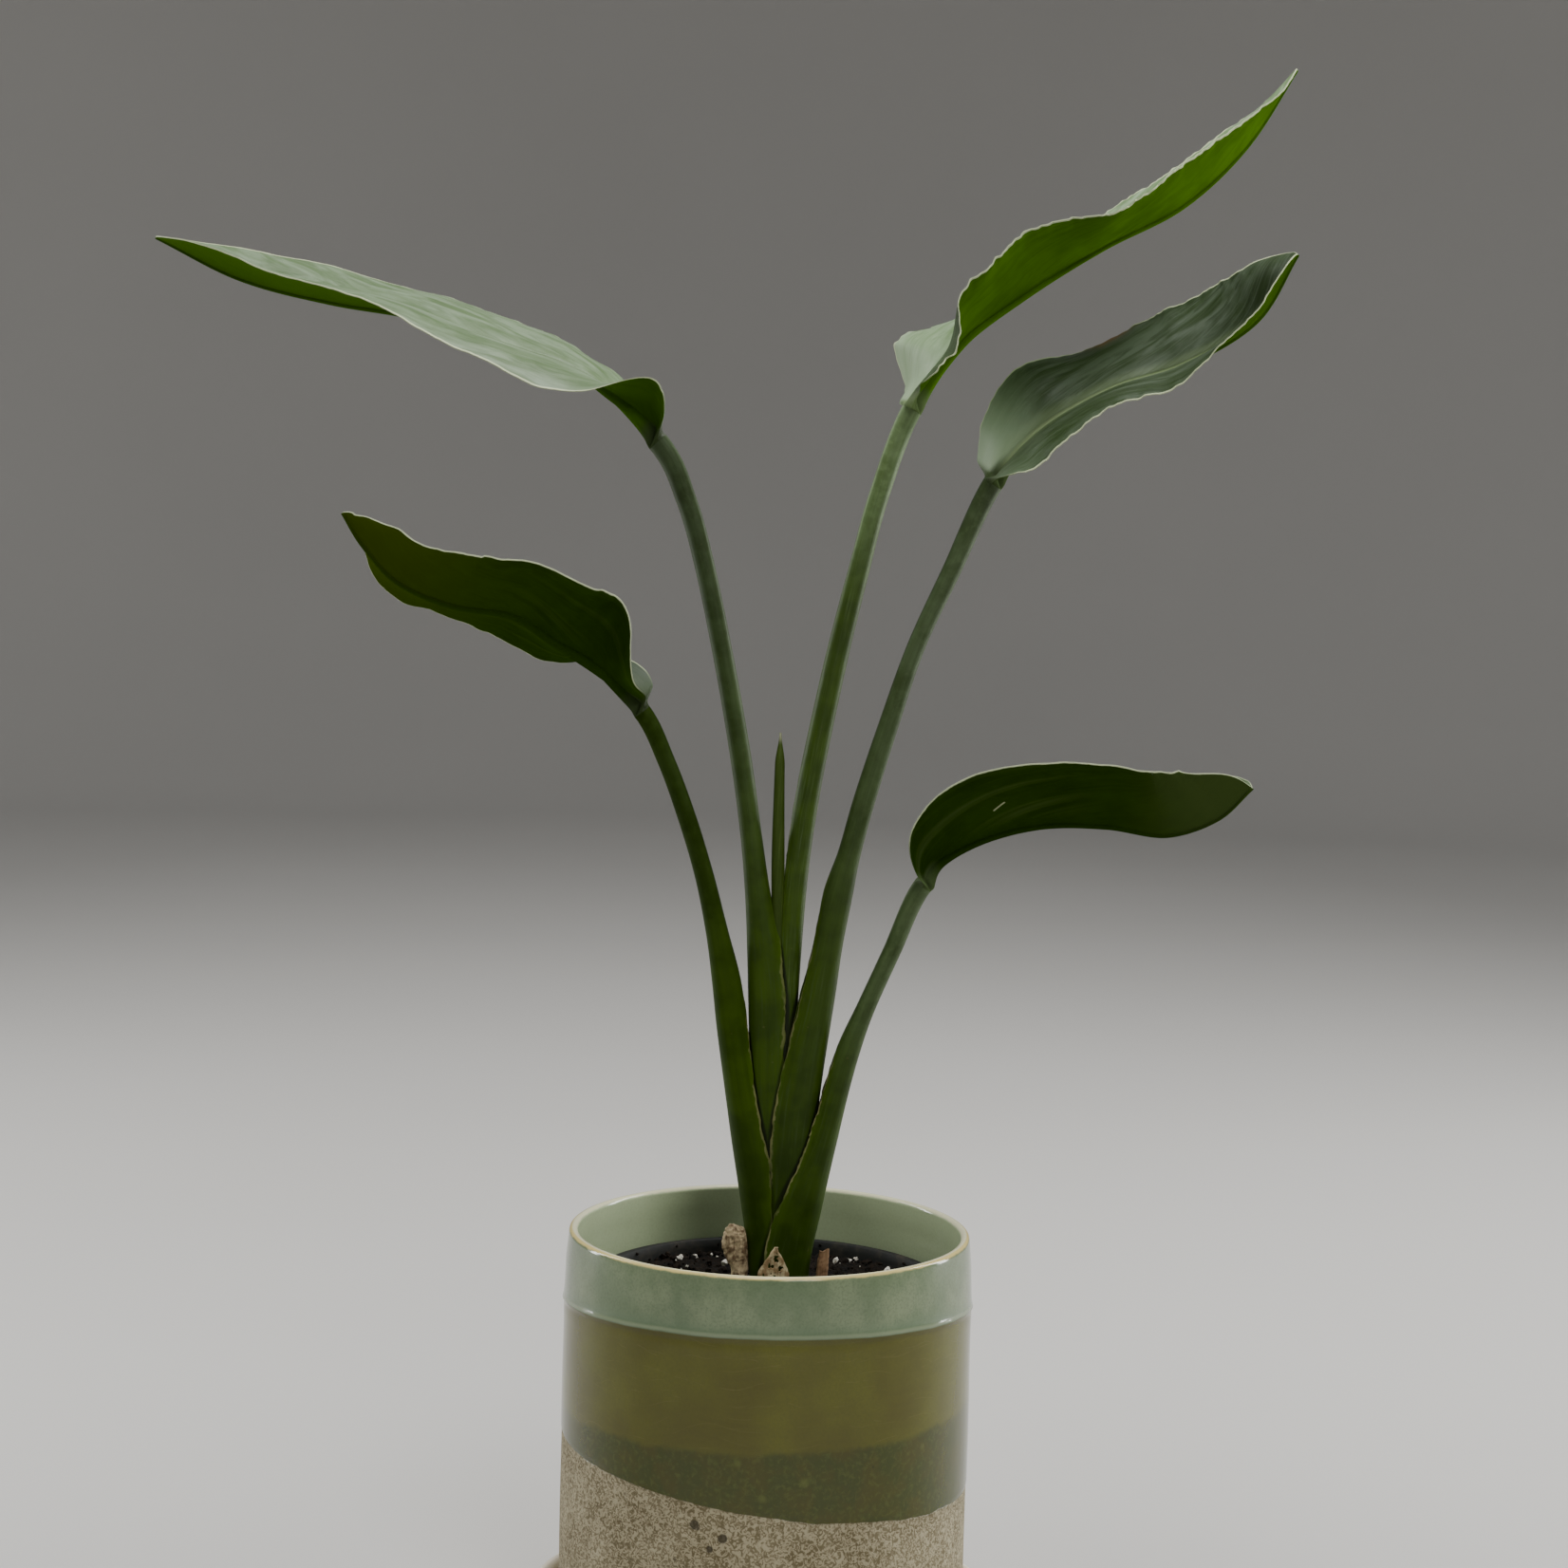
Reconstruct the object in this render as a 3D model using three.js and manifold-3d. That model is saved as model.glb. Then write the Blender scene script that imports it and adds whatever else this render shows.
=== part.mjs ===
// A young bird of paradise plant in a glazed stoneware pot that stands on its saucer.
// Millimetres, +Z up. The origin is under the saucer, on the pot's axis. The leaves fan
// out along X, and the plant's front is -Y.
import * as THREE from 'three';
import { mergeVertices } from 'three/addons/utils/BufferGeometryUtils.js';
import Module from 'manifold-3d';

const wasm = await Module();
wasm.setup();

// ---------------------------------------------------------------- driving dimensions

const GAP = 0.3; // clearance between pieces that touch
const SHEATH_GAP = 0.35; // clearance between one leaf's sheath and the next inside it
const WELD = 1e-4; // vertices closer than this are one
const ROUND_SIDES = 40; // facets around each turned piece
const LIP_FACETS = 4; // facets over a rounded lip

// `outside` and `inside` are points of the wall, by radius and height.
const SAUCER = {
  outside: [[70.5, 0], [72, 1], [81, 3.5], [86, 9]],
  inside: [[81.5, 9.5], [79.5, 6], [78, 5]],
  floor: 5,
  rimRadius: 88.3,
  rim: 20,
  wall: 4.6,
};

// `heel` is the rounded foot of the wall, by radius and height above the foot. `side` is
// the wall's outside above that, by radius and height. `cove` rounds the floor's edge.
const POT = {
  heel: [[74, 0], [76.2, 0.9], [77, 3.2]],
  side: [[76.9, 100], [76.6, 133], [76, 149]],
  rimRadius: 75,
  rim: 160,
  wall: 3.4,
  floor: 7,
  cove: 4,
  drainRadius: 8,
};
POT.foot = SAUCER.floor + GAP;
POT.inside = POT.foot + POT.floor;

const NURSERY = {
  footRadius: 50,
  topRadius: 65.5,
  rim: 140.5,
  wall: 1.3,
  floor: 1.6,
  drainRadius: 5,
  lipWidth: 3,
  lipHeight: 3.5,
  lipBevel: 1,
};
NURSERY.foot = POT.inside + GAP;
NURSERY.inside = NURSERY.foot + NURSERY.floor;

const SOIL = { top: 136, rings: 6, lump: 0.9, level: 1 }; // `level` is a flat band at the edge

// `groove` is the depth of the channel along a stalk's upper side, in half widths.
// `underfoot` is how far the hole for a stem goes below its foot, in clearances.
const STEM = { sides: 14, ringsPerRow: 1.5, groove: 0.3, grooveStart: 0.55, underfoot: 6 };

// `crowding` draws the cross-sections of a blade together towards its two ends, and
// `border` is the least width of a blade beside its midrib.
const BLADE = { steps: 20, crowding: 0.6, thickness: 0.7, edgeAngle: 10, border: 0.4 };
const RIB = { tip: 0.5, taper: 1.3, flare: 2.4, flareLength: 0.07, shoulder: 0.6 };

// Each leaf has two lists that were set by eye. `stem` runs up its stalk from the soil to
// the blade: x, y, z of the middle, then half the width in the fan's plane and half the
// depth across it. The lower rows are the wide sheath that wraps the younger stalks.
// `midrib` goes on from there to the tip. `front` and `back` are the angles, in degrees,
// that the two halves of the blade lift from level, at equal steps from base to tip.
// `curl` is how far each half turns on between the midrib and its margin. The blade's
// half width swells from nothing to about `halfWidth` and back: a smaller `blunt` makes the
// base or the tip rounder, and `shift` moves the widest place towards the base. `side` is
// +1 for a leaf that leans to the right and -1 to the left.
const LEAVES = {
  low_right: {
    side: 1,
    stem: [
      [5.8, -1.5, 124, 8.6, 8],
      [5.8, -2.5, 148, 9.7, 8.4],
      [11.2, -3, 172, 8.7, 8],
      [18.3, -3, 194, 6, 6],
      [23.2, -3, 213, 5, 4.8],
      [28, -3.5, 230, 4.4, 4.2],
      [33.4, -5, 245, 3.7, 3.8],
      [42, -6, 265.9, 3.7, 3.7],
      [53, -7, 291.5, 4, 4.1],
    ],
    midrib: [
      [70.3, -12, 306.2],
      [94, -18, 315],
      [118, -25, 316.5],
      [139.5, -31.5, 314.5],
      [156.5, -38, 321.5],
      [167.4, -42, 333.4],
    ],
    halfWidth: 32.9,
    blunt: [0.48, 0.39],
    shift: 0.92,
    front: [-6, 62, 73, 70, 64, 57, 51, 49, 47, 45, 48, 55, 60, 62, 69, 68, 64],
    back: [29, 57, 48, 45, 42, 38, 36, 36, 35, 37, 40, 37, 33, 29, 28, 22, 9],
    curl: [-20, -20],
  },
  left: {
    side: -1,
    stem: [
      [0.5, 0, 124, 6.5, 6.8],
      [-0.8, 0, 148, 7, 7.1],
      [-3.6, -0.4, 172, 7.8, 7.2],
      [-7.9, -0.5, 194, 7.3, 6.8],
      [-12.3, -0.5, 215, 6.2, 6],
      [-15.9, -1, 236, 5.8, 5.2],
      [-18.4, -1.5, 253, 5.4, 4.6],
      [-22.4, -2.5, 272, 4.2, 4],
      [-27.5, -3.5, 293, 3.7, 3.8],
      [-34.1, -4.5, 314, 3.7, 3.7],
      [-42.2, -5.5, 335, 3.6, 3.7],
      [-51.5, -5.9, 353, 3.8, 3.8],
    ],
    midrib: [
      [-68.3, -8, 367.8],
      [-83, -11, 377],
      [-99, -16, 387],
      [-120.5, -23, 390.5],
      [-139, -30, 398.5],
      [-150.5, -35, 411],
      [-157.5, -38, 422.5],
    ],
    halfWidth: 33.4,
    blunt: [0.61, 0.53],
    shift: 0.86,
    front: [39, 21, 44, 75, 65, 56, 47, 41, 36, 39, 40, 40, 43, 43, 43, 40, 35],
    back: [65, 40, 14, -9, -18, -22, -23, -18, -11, -9, -13, -13, -12, -8, -5, -5, -5],
    curl: [-25, -25],
  },
  right: {
    side: 1,
    stem: [
      [4.5, -0.5, 124, 6.2, 6],
      [5.2, -1, 150, 7.2, 6.3],
      [6.2, -1.3, 175, 8.4, 6.5],
      [7.4, -1.5, 200, 9.1, 6.5],
      [10.8, -1.5, 223, 8.1, 6.2],
      [15.6, -1.5, 250, 6.8, 5.6],
      [18.8, -2, 268, 5.7, 5],
      [22.2, -2.5, 287, 5.5, 4.6],
      [25.9, -3, 302, 4.3, 4.1],
      [31, -3.5, 323, 4.2, 4],
      [39, -4.5, 351, 4, 3.9],
      [48, -5, 379.5, 3.7, 3.8],
      [60, -5.5, 407.6, 3.9, 3.8],
      [73.9, -6, 439.4, 4.3, 4.2],
    ],
    midrib: [
      [90, -9, 459],
      [115, -14, 474.5],
      [140, -20, 483.5],
      [164.5, -27, 499],
      [177, -35, 522],
    ],
    halfWidth: 33.3,
    blunt: [0.31, 0.41],
    shift: 0.83,
    front: [4, -8, -16, -16, -15, -13, -11, -12, -13, -14, -9, -2, 4, 9, 12, 14, 12],
    back: [20, 28, 36, 43, 45, 36, 31, 33, 39, 42, 43, 44, 46, 46, 43, 33, 4],
    curl: [-15, -35],
  },
  top_left: {
    side: -1,
    stem: [
      [3, 0, 124, 4.8, 4.6],
      [1.5, 0, 150, 5.4, 4.8],
      [-0.5, 0, 180, 6.6, 5.1],
      [-1.6, 0, 215, 7.2, 5.3],
      [-2.2, 0, 244, 7.9, 5.4],
      [-4.4, 0, 265, 6.7, 5],
      [-7.6, 0.5, 286, 4.8, 4.4],
      [-10.7, 1, 308, 4, 4],
      [-15.1, 3, 336, 4, 4],
      [-21.5, 5, 369, 4, 4],
      [-29.6, 6.5, 405, 4.1, 4],
      [-37.2, 7, 430.6, 4.3, 4.1],
      [-48.2, 7, 452, 4.6, 4.4],
    ],
    midrib: [
      [-77, 8, 476.8],
      [-105.5, 12, 486],
      [-138.5, 18, 496.2],
      [-173.5, 25, 501.6],
      [-209, 32, 510],
      [-242, 40, 525.5],
    ],
    halfWidth: 36.3,
    blunt: [0.48, 0.66],
    shift: 0.85,
    front: [17, 38, -9, -22, -19, -14, -13, -10, -4, 2, 6, 8, 11, 18, 21, 19, 8],
    back: [-3, 7, 14, 11, 14, 17, 18, 18, 19, 20, 24, 30, 35, 38, 42, 36, 24],
    curl: [-45, -30],
  },
  top_right: {
    side: 1,
    stem: [
      [4, 0, 124, 3.4, 3.2],
      [3.8, 0, 155, 3.6, 3.4],
      [3.4, 0, 190, 3.9, 3.6],
      [3.6, 0.5, 225, 4.3, 3.8],
      [4.4, 1, 260, 4.6, 4],
      [6.3, 2, 294, 4.7, 4.1],
      [9.8, 3, 322, 4.5, 4.1],
      [14.7, 4, 350.5, 4.4, 4.1],
      [20.2, 5, 379, 4.4, 4.1],
      [26.4, 5.5, 407, 4.3, 4],
      [33.1, 6, 435, 4.2, 4],
      [44, 6, 466, 4.3, 4.1],
    ],
    midrib: [
      [61.2, 9, 490.2],
      [83.5, 14, 508],
      [114, 20, 528.5],
      [144, 27, 545],
      [168, 35, 568.5],
      [187.5, 44, 599.5],
    ],
    halfWidth: 37.4,
    blunt: [0.23, 0.53],
    shift: 0.67,
    front: [5, 0, 1, 18, 22, 26, 29, 22, 13, 17, 24, 26, 26, 23, 16, 3, 1],
    back: [8, 8, 29, 20, 13, 13, 14, 16, 18, 22, 29, 33, 35, 36, 33, 17, 3],
    curl: [-20, -30],
  },
};

// From the oldest leaf, whose sheath wraps the others, to the youngest open one.
const OLD_TO_YOUNG = ['low_right', 'left', 'right', 'top_left', 'top_right'];

// The rolled young leaf in the middle, and the dry remains around the foot of the plant,
// by the same five numbers a row as a stem.
const YOUNG_LEAF = [
  [3, 0, 150, 1.4, 1.4],
  [2, 0, 200, 1.8, 1.8],
  [0.8, 0, 250, 2.2, 2.2],
  [-0.4, -0.3, 294, 2.6, 2.5],
  [-0.7, -0.8, 322, 2.2, 2.2],
  [-0.7, -1, 346, 1.8, 1.8],
];
const REMAINS = {
  dry_sheath: [
    [-12, -1, 128, 3.9, 2.2],
    [-13, -1, 145, 4.9, 2.5],
    [-13.1, -1.5, 154, 5, 2.3],
    [-12, -2, 161, 2.8, 1.6],
  ],
  dry_husk: [
    [1.6, -12.7, 128, 6, 0.9],
    [1.6, -12.7, 146, 5.9, 0.9],
    [2, -12.5, 151, 3.8, 0.8],
    [2.7, -12.2, 156, 0.9, 0.6],
  ],
  cut_stub: [
    [19.6, -3, 128, 2.2, 1.5],
    [20, -3, 144, 2.3, 1.5],
    [20.7, -3, 153.2, 2, 1.4],
  ],
};

// White perlite grains in the soil: x, y and radius.
const PERLITE = [
  [26.6, 45.8, 1.7],
  [31.5, 50.1, 1.3],
  [34.2, 51.8, 1.2],
  [46, 34, 1.5],
  [-34.9, 44.4, 1.5],
  [-29, 49.4, 1.2],
  [-16.8, 39.7, 1.8],
  [-44, 8, 1.4],
  [-30, -35, 1.6],
  [8, -44, 1.3],
  [39, -22, 1.6],
];
const PERLITE_RISE = 0.3; // how far a grain's middle is above the soil, in radii

// ---------------------------------------------------------------- finishes

const FINISHES = {
  stoneware: { color: 0xcfc8b8, roughness: 0.6 },
  glaze: { color: 0x7d8560, roughness: 0.2 },
  plastic: { color: 0x2b2c2b, roughness: 0.5 },
  soil: { color: 0x2a221b, roughness: 0.95 },
  stem: { color: 0x5d7d4a, roughness: 0.45 },
  blade: { color: 0x3f6a2b, roughness: 0.4 },
  young: { color: 0x7f9a63, roughness: 0.5 },
  dry: { color: 0xa98660, roughness: 0.85 },
  perlite: { color: 0xe3e0d6, roughness: 0.9 },
};

// ---------------------------------------------------------------- solids

// Merges a geometry's vertices by place and drops the triangles that this closes up.
function weld(geometry) {
  geometry.deleteAttribute('normal');
  geometry.deleteAttribute('uv');
  const welded = mergeVertices(geometry, WELD);
  const corners = Array.from(welded.index.array);
  const kept = [];
  for (let i = 0; i < corners.length; i += 3) {
    const [a, b, c] = corners.slice(i, i + 3);
    if (a !== b && b !== c && c !== a) {
      kept.push(a, b, c);
    }
  }
  welded.setIndex(kept);
  return welded;
}

function toSolid(geometry) {
  const vertProperties = new Float32Array(geometry.attributes.position.array);
  const triVerts = new Uint32Array(geometry.index.array);
  return new wasm.Manifold(new wasm.Mesh({ numProp: 3, vertProperties, triVerts }));
}

function toGeometry(solid) {
  const mesh = solid.getMesh();
  const geometry = new THREE.BufferGeometry();
  geometry.setAttribute('position', new THREE.Float32BufferAttribute(mesh.vertProperties, 3));
  geometry.setIndex(Array.from(mesh.triVerts));
  return geometry;
}

function fromTriangles(points, triangles) {
  const geometry = new THREE.BufferGeometry().setFromPoints(points);
  geometry.setIndex(triangles);
  return geometry;
}

// A turned solid about +Z. The profile lists [radius, height] anticlockwise, with the
// axis on its left.
function turned(profile) {
  const outline = profile.map(([radius, height]) => new THREE.Vector2(radius, height));
  const geometry = new THREE.LatheGeometry(outline, ROUND_SIDES);
  return weld(geometry.rotateX(Math.PI / 2));
}

// The half circle of a rounded lip, as profile points from its outside to its inside.
function roundLip(radius, height, size) {
  const points = [];
  for (let i = 0; i <= LIP_FACETS; i += 1) {
    const angle = (Math.PI * i) / LIP_FACETS;
    points.push([radius + size * Math.cos(angle), height + size * Math.sin(angle)]);
  }
  return points;
}

// A closed skin over rings of points. Each ring runs anticlockwise seen from the end.
function loft(rings) {
  const sides = rings[0].length;
  const last = rings.length - 1;
  const at = (ring, side) => ring * sides + (side % sides);
  const triangles = [];
  for (let ring = 0; ring < last; ring += 1) {
    for (let side = 0; side < sides; side += 1) {
      triangles.push(at(ring, side), at(ring, side + 1), at(ring + 1, side + 1));
      triangles.push(at(ring, side), at(ring + 1, side + 1), at(ring + 1, side));
    }
  }
  for (let side = 1; side < sides - 1; side += 1) {
    triangles.push(at(0, 0), at(0, side + 1), at(0, side));
    triangles.push(at(last, 0), at(last, side), at(last, side + 1));
  }
  return fromTriangles(rings.flat(), triangles);
}

// ---------------------------------------------------------------- curves

function curveThrough(rows) {
  const points = rows.map((row) => new THREE.Vector3(row[0], row[1], row[2] ?? 0));
  return new THREE.CatmullRomCurve3(points, false, 'catmullrom', 0.5);
}

// The frame that carries a cross-section: `ahead` along the curve, `front` towards -Y,
// and `out` square to both.
function frameOn(curve, t) {
  const centre = curve.getPoint(t);
  const ahead = curve.getTangent(t);
  const front = new THREE.Vector3(0, -1, 0);
  front.addScaledVector(ahead, -front.dot(ahead)).normalize();
  const out = new THREE.Vector3().crossVectors(ahead, front);
  return { centre, ahead, front, out };
}

function offset(frame, toFront, toOut) {
  return frame.centre.clone().addScaledVector(frame.front, toFront).addScaledVector(frame.out, toOut);
}

// ---------------------------------------------------------------- pot and soil

function saucer() {
  const { outside, inside, floor, rimRadius, rim, wall } = SAUCER;
  const lip = roundLip(rimRadius - wall / 2, rim - wall / 2, wall / 2);
  return turned([[0, 0], ...outside, ...lip, ...inside, [0, floor]]);
}

function ceramicPot() {
  const { heel, side, rimRadius, rim, wall, cove, drainRadius, foot, inside } = POT;
  const [radius] = heel.at(-1);
  return turned([
    [drainRadius, foot],
    ...heel.map(([across, up]) => [across, foot + up]),
    ...side,
    ...roundLip(rimRadius - wall / 2, rim - wall / 2, wall / 2),
    ...side.toReversed().map(([across, up]) => [across - wall, up]),
    [radius - wall, inside + cove],
    [radius - wall - cove, inside],
    [drainRadius, inside],
    [drainRadius, foot],
  ]);
}

// The nursery pot's inner radius at a height.
function nurseryInside(height) {
  const part = (height - NURSERY.foot) / (NURSERY.rim - NURSERY.foot);
  return THREE.MathUtils.lerp(NURSERY.footRadius, NURSERY.topRadius, part) - NURSERY.wall;
}

function nurseryPot() {
  const { rim, foot, inside, wall, drainRadius, lipWidth, lipHeight, lipBevel } = NURSERY;
  const underLip = rim - lipHeight;
  return turned([
    [drainRadius, foot],
    [nurseryInside(foot) + wall, foot],
    [nurseryInside(underLip) + wall, underLip],
    [nurseryInside(underLip) + lipWidth, underLip],
    [nurseryInside(rim) + lipWidth, rim - lipBevel],
    [nurseryInside(rim) + lipWidth - lipBevel, rim],
    [nurseryInside(rim), rim],
    [nurseryInside(inside), inside],
    [drainRadius, inside],
    [drainRadius, foot],
  ]);
}

// Height of the lumpy soil surface above its mean level.
function soilLump(x, y) {
  const coarse = Math.sin(0.31 * x + 1.2) * Math.cos(0.27 * y - 0.4);
  const fine = Math.sin(0.62 * x - 0.55 * y) + Math.cos(0.71 * y + 0.35 * x);
  return SOIL.lump * (0.7 * coarse + 0.35 * fine);
}

function soilBlock() {
  const bottom = NURSERY.inside + GAP;
  const edge = nurseryInside(SOIL.top) - GAP;
  const profile = [
    [0, bottom],
    [nurseryInside(bottom) - GAP, bottom],
    [edge, SOIL.top],
  ];
  for (let ring = SOIL.rings - 1; ring >= 0; ring -= 1) {
    profile.push([(edge * ring) / SOIL.rings, SOIL.top]);
  }
  const geometry = turned(profile);
  const place = geometry.attributes.position;
  for (let i = 0; i < place.count; i += 1) {
    const radius = Math.hypot(place.getX(i), place.getY(i));
    if (place.getZ(i) > SOIL.top - WELD && radius < edge - SOIL.level) {
      place.setZ(i, SOIL.top + soilLump(place.getX(i), place.getY(i)));
    }
  }
  return toSolid(geometry);
}

// ---------------------------------------------------------------- stems

// An oval stalk through rows of x, y, z, half width and half depth. `grow` is added all
// round, `channel` is the depth of the groove along its upper side, and `end` is how much
// shorter it is. `path` is the curve that gives the middle, and `span` the part of it
// that is used.
function stalk(rows, { path = curveThrough(rows), span = 1, side = 1, grow = 0, channel = 0, end = 0 }) {
  const sizes = curveThrough(rows.map((row) => [row[3], row[4]]));
  const count = Math.round((rows.length - 1) * STEM.ringsPerRow);
  const rings = [];
  for (let ring = 0; ring <= count; ring += 1) {
    const part = ring / count;
    const frame = frameOn(path, part * span);
    if (ring === 0) {
      frame.centre.addScaledVector(frame.ahead, -STEM.underfoot * grow);
    }
    if (ring === count) {
      frame.centre.addScaledVector(frame.ahead, -end);
    }
    const size = sizes.getPoint(part);
    const open = channel * THREE.MathUtils.smoothstep(part, STEM.grooveStart, 1);
    const points = [];
    for (let corner = 0; corner < STEM.sides; corner += 1) {
      const angle = (2 * Math.PI * corner) / STEM.sides;
      const upper = Math.max(0, -side * Math.sin(angle));
      const reach = (size.x + grow) * (1 - open * upper ** 6);
      points.push(offset(frame, (size.y + grow) * Math.cos(angle), reach * Math.sin(angle)));
    }
    rings.push(points);
  }
  return toSolid(loft(rings));
}

// The one curve that a leaf's stalk and midrib follow, and the part of it that is stalk.
function leafPath(leaf) {
  const path = curveThrough([...leaf.stem, ...leaf.midrib]);
  const span = (leaf.stem.length - 1) / (leaf.stem.length + leaf.midrib.length - 1);
  return { path, span };
}

// ---------------------------------------------------------------- blades

// Half the midrib's width at part s of the blade.
function ribRadius(s) {
  return RIB.tip + RIB.taper * (1 - s) + RIB.flare * Math.exp(-s / RIB.flareLength);
}

// Half the blade's width at part s, never less than the midrib.
function halfWidth(leaf, s) {
  const along = s ** leaf.shift;
  const swell = (2 * along) ** leaf.blunt[0] * (2 - 2 * along) ** leaf.blunt[1];
  return Math.max(leaf.halfWidth * swell, ribRadius(s) + BLADE.border);
}

// The distances from the midrib, on one half, at which a cross-section has points.
function stations(leaf, s) {
  const rib = ribRadius(s);
  const rest = halfWidth(leaf, s) - rib;
  return [0, RIB.shoulder * rib, rib, rib + rest / 3, rib + (2 * rest) / 3, rib + rest];
}

// A point on one half of the blade. `lift` is the half's mean angle and `turn` how far
// it turns on from midrib to margin, so that the section is an arc of a circle.
function onHalf(frame, upward, toFront, lift, turn, width, distance) {
  const start = lift - turn / 2;
  const angle = start + (turn * distance) / width;
  const across = (width / turn) * (Math.sin(angle) - Math.sin(start));
  const rise = (width / turn) * (Math.cos(start) - Math.cos(angle));
  const point = offset(frame, toFront * across, upward * rise);
  const below = new THREE.Vector3();
  below.addScaledVector(frame.front, toFront * Math.sin(angle));
  below.addScaledVector(frame.out, -upward * Math.cos(angle));
  return { point, below };
}

// One cross-section of the blade, as its upper and lower points from front to back.
function bladeSection(leaf, path, span, lifts, s) {
  const frame = frameOn(path, span + (1 - span) * s);
  const upward = -leaf.side;
  const rib = ribRadius(s);
  const width = halfWidth(leaf, s);
  const lift = lifts.getPoint(s);
  const upper = [];
  const lower = [];
  const place = (toFront, degrees, turn, distance) => {
    const angles = [degrees, turn].map(THREE.MathUtils.degToRad);
    const { point, below } = onHalf(frame, upward, toFront, ...angles, width, distance);
    const bulge = rib * Math.sqrt(Math.max(0, 1 - (distance / rib) ** 2));
    upper.push(point);
    lower.push(point.clone().addScaledVector(below, BLADE.thickness + bulge));
  };
  const distances = stations(leaf, s);
  for (const distance of distances.toReversed().slice(0, -1)) {
    place(1, lift.x, leaf.curl[0], distance);
  }
  const foot = frame.out.clone().multiplyScalar(-upward);
  upper.push(frame.centre.clone());
  lower.push(frame.centre.clone().addScaledVector(foot, BLADE.thickness + rib));
  for (const distance of distances.slice(1)) {
    place(-1, lift.y, leaf.curl[1], distance);
  }
  return { upper, lower };
}

// The blade's first section is its stalk's oval, in as many points as the others.
function ovalSection(leaf, path, span, count) {
  const frame = frameOn(path, span);
  const upward = -leaf.side;
  const [, , , width, depth] = leaf.stem.at(-1);
  const upper = [];
  const lower = [];
  for (let i = 0; i < count; i += 1) {
    const degrees = THREE.MathUtils.lerp(BLADE.edgeAngle, 180 - BLADE.edgeAngle, i / (count - 1));
    const angle = THREE.MathUtils.degToRad(degrees);
    upper.push(offset(frame, depth * Math.cos(angle), upward * width * Math.sin(angle)));
    lower.push(offset(frame, depth * Math.cos(angle), -upward * width * Math.sin(angle)));
  }
  return { upper, lower };
}

// A thin closed blade. Both faces are split along the same diagonals, so that they never
// cross where the blade waves.
function blade(leaf) {
  const { path, span } = leafPath(leaf);
  const lifts = curveThrough(leaf.front.map((front, i) => [front, leaf.back[i]]));
  const across = 2 * stations(leaf, 0).length - 1;
  const sections = [ovalSection(leaf, path, span, across)];
  for (let step = 1; step <= BLADE.steps; step += 1) {
    const even = step / BLADE.steps;
    const s = THREE.MathUtils.lerp(even, (1 - Math.cos(Math.PI * even)) / 2, BLADE.crowding);
    sections.push(bladeSection(leaf, path, span, lifts, s));
  }
  const points = sections.flatMap(({ upper, lower }) => [...upper, ...lower]);
  const top = (step, j) => step * 2 * across + j;
  const under = (step, j) => top(step, j) + across;
  const triangles = [];
  // A leaf that leans to the left mirrors one that leans to the right.
  const face = (a, b, c) => triangles.push(...(leaf.side > 0 ? [a, b, c] : [a, c, b]));
  const quad = (a, b, c, d) => {
    face(a, b, c);
    face(a, c, d);
  };
  const last = across - 1;
  for (let step = 0; step < BLADE.steps; step += 1) {
    for (let j = 0; j < last; j += 1) {
      quad(top(step, j), top(step + 1, j), top(step + 1, j + 1), top(step, j + 1));
      face(under(step, j), under(step + 1, j + 1), under(step + 1, j));
      face(under(step, j), under(step, j + 1), under(step + 1, j + 1));
    }
    quad(top(step, 0), under(step, 0), under(step + 1, 0), top(step + 1, 0));
    quad(top(step, last), top(step + 1, last), under(step + 1, last), under(step, last));
  }
  for (let j = 0; j < last; j += 1) {
    quad(top(0, j), top(0, j + 1), under(0, j + 1), under(0, j));
    quad(top(BLADE.steps, j), under(BLADE.steps, j), under(BLADE.steps, j + 1), top(BLADE.steps, j + 1));
  }
  return fromTriangles(points, triangles);
}

// ---------------------------------------------------------------- assembly

const group = new THREE.Group();

function add(name, geometry, finish) {
  const material = new THREE.MeshStandardMaterial({ metalness: 0, ...FINISHES[finish] });
  const mesh = new THREE.Mesh(geometry, material);
  mesh.name = name;
  group.add(mesh);
}

function addHolder() {
  add('saucer', saucer(), 'stoneware');
  add('ceramic_pot', ceramicPot(), 'glaze');
  add('nursery_pot', nurseryPot(), 'plastic');
}

// Adds the plant and returns the holes that its feet need in the soil. Each sheath wraps
// the younger stalks, so it is hollowed by all of them, a little enlarged.
function addPlant() {
  const holes = [stalk(YOUNG_LEAF, { grow: SHEATH_GAP })];
  for (const name of OLD_TO_YOUNG.toReversed()) {
    const leaf = LEAVES[name];
    const { path, span } = leafPath(leaf);
    const shape = { path, span, side: leaf.side };
    let stem = stalk(leaf.stem, { ...shape, channel: STEM.groove, end: GAP });
    for (const hole of holes) {
      stem = stem.subtract(hole);
    }
    holes.push(stalk(leaf.stem, { ...shape, grow: SHEATH_GAP }));
    add(`stem_${name}`, toGeometry(stem), 'stem');
    add(`leaf_${name}`, blade(leaf), 'blade');
  }
  add('young_leaf', toGeometry(stalk(YOUNG_LEAF, {})), 'young');
  return holes;
}

// Adds what is left of old leaves, hollowed where it lies against the plant's own
// `holes`, and returns the holes that it needs in the soil.
function addRemains(plantHoles) {
  const holes = [];
  for (const [name, rows] of Object.entries(REMAINS)) {
    let piece = stalk(rows, {});
    for (const hole of plantHoles) {
      piece = piece.subtract(hole);
    }
    add(name, toGeometry(piece), 'dry');
    holes.push(stalk(rows, { grow: GAP }));
  }
  return holes;
}

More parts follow.
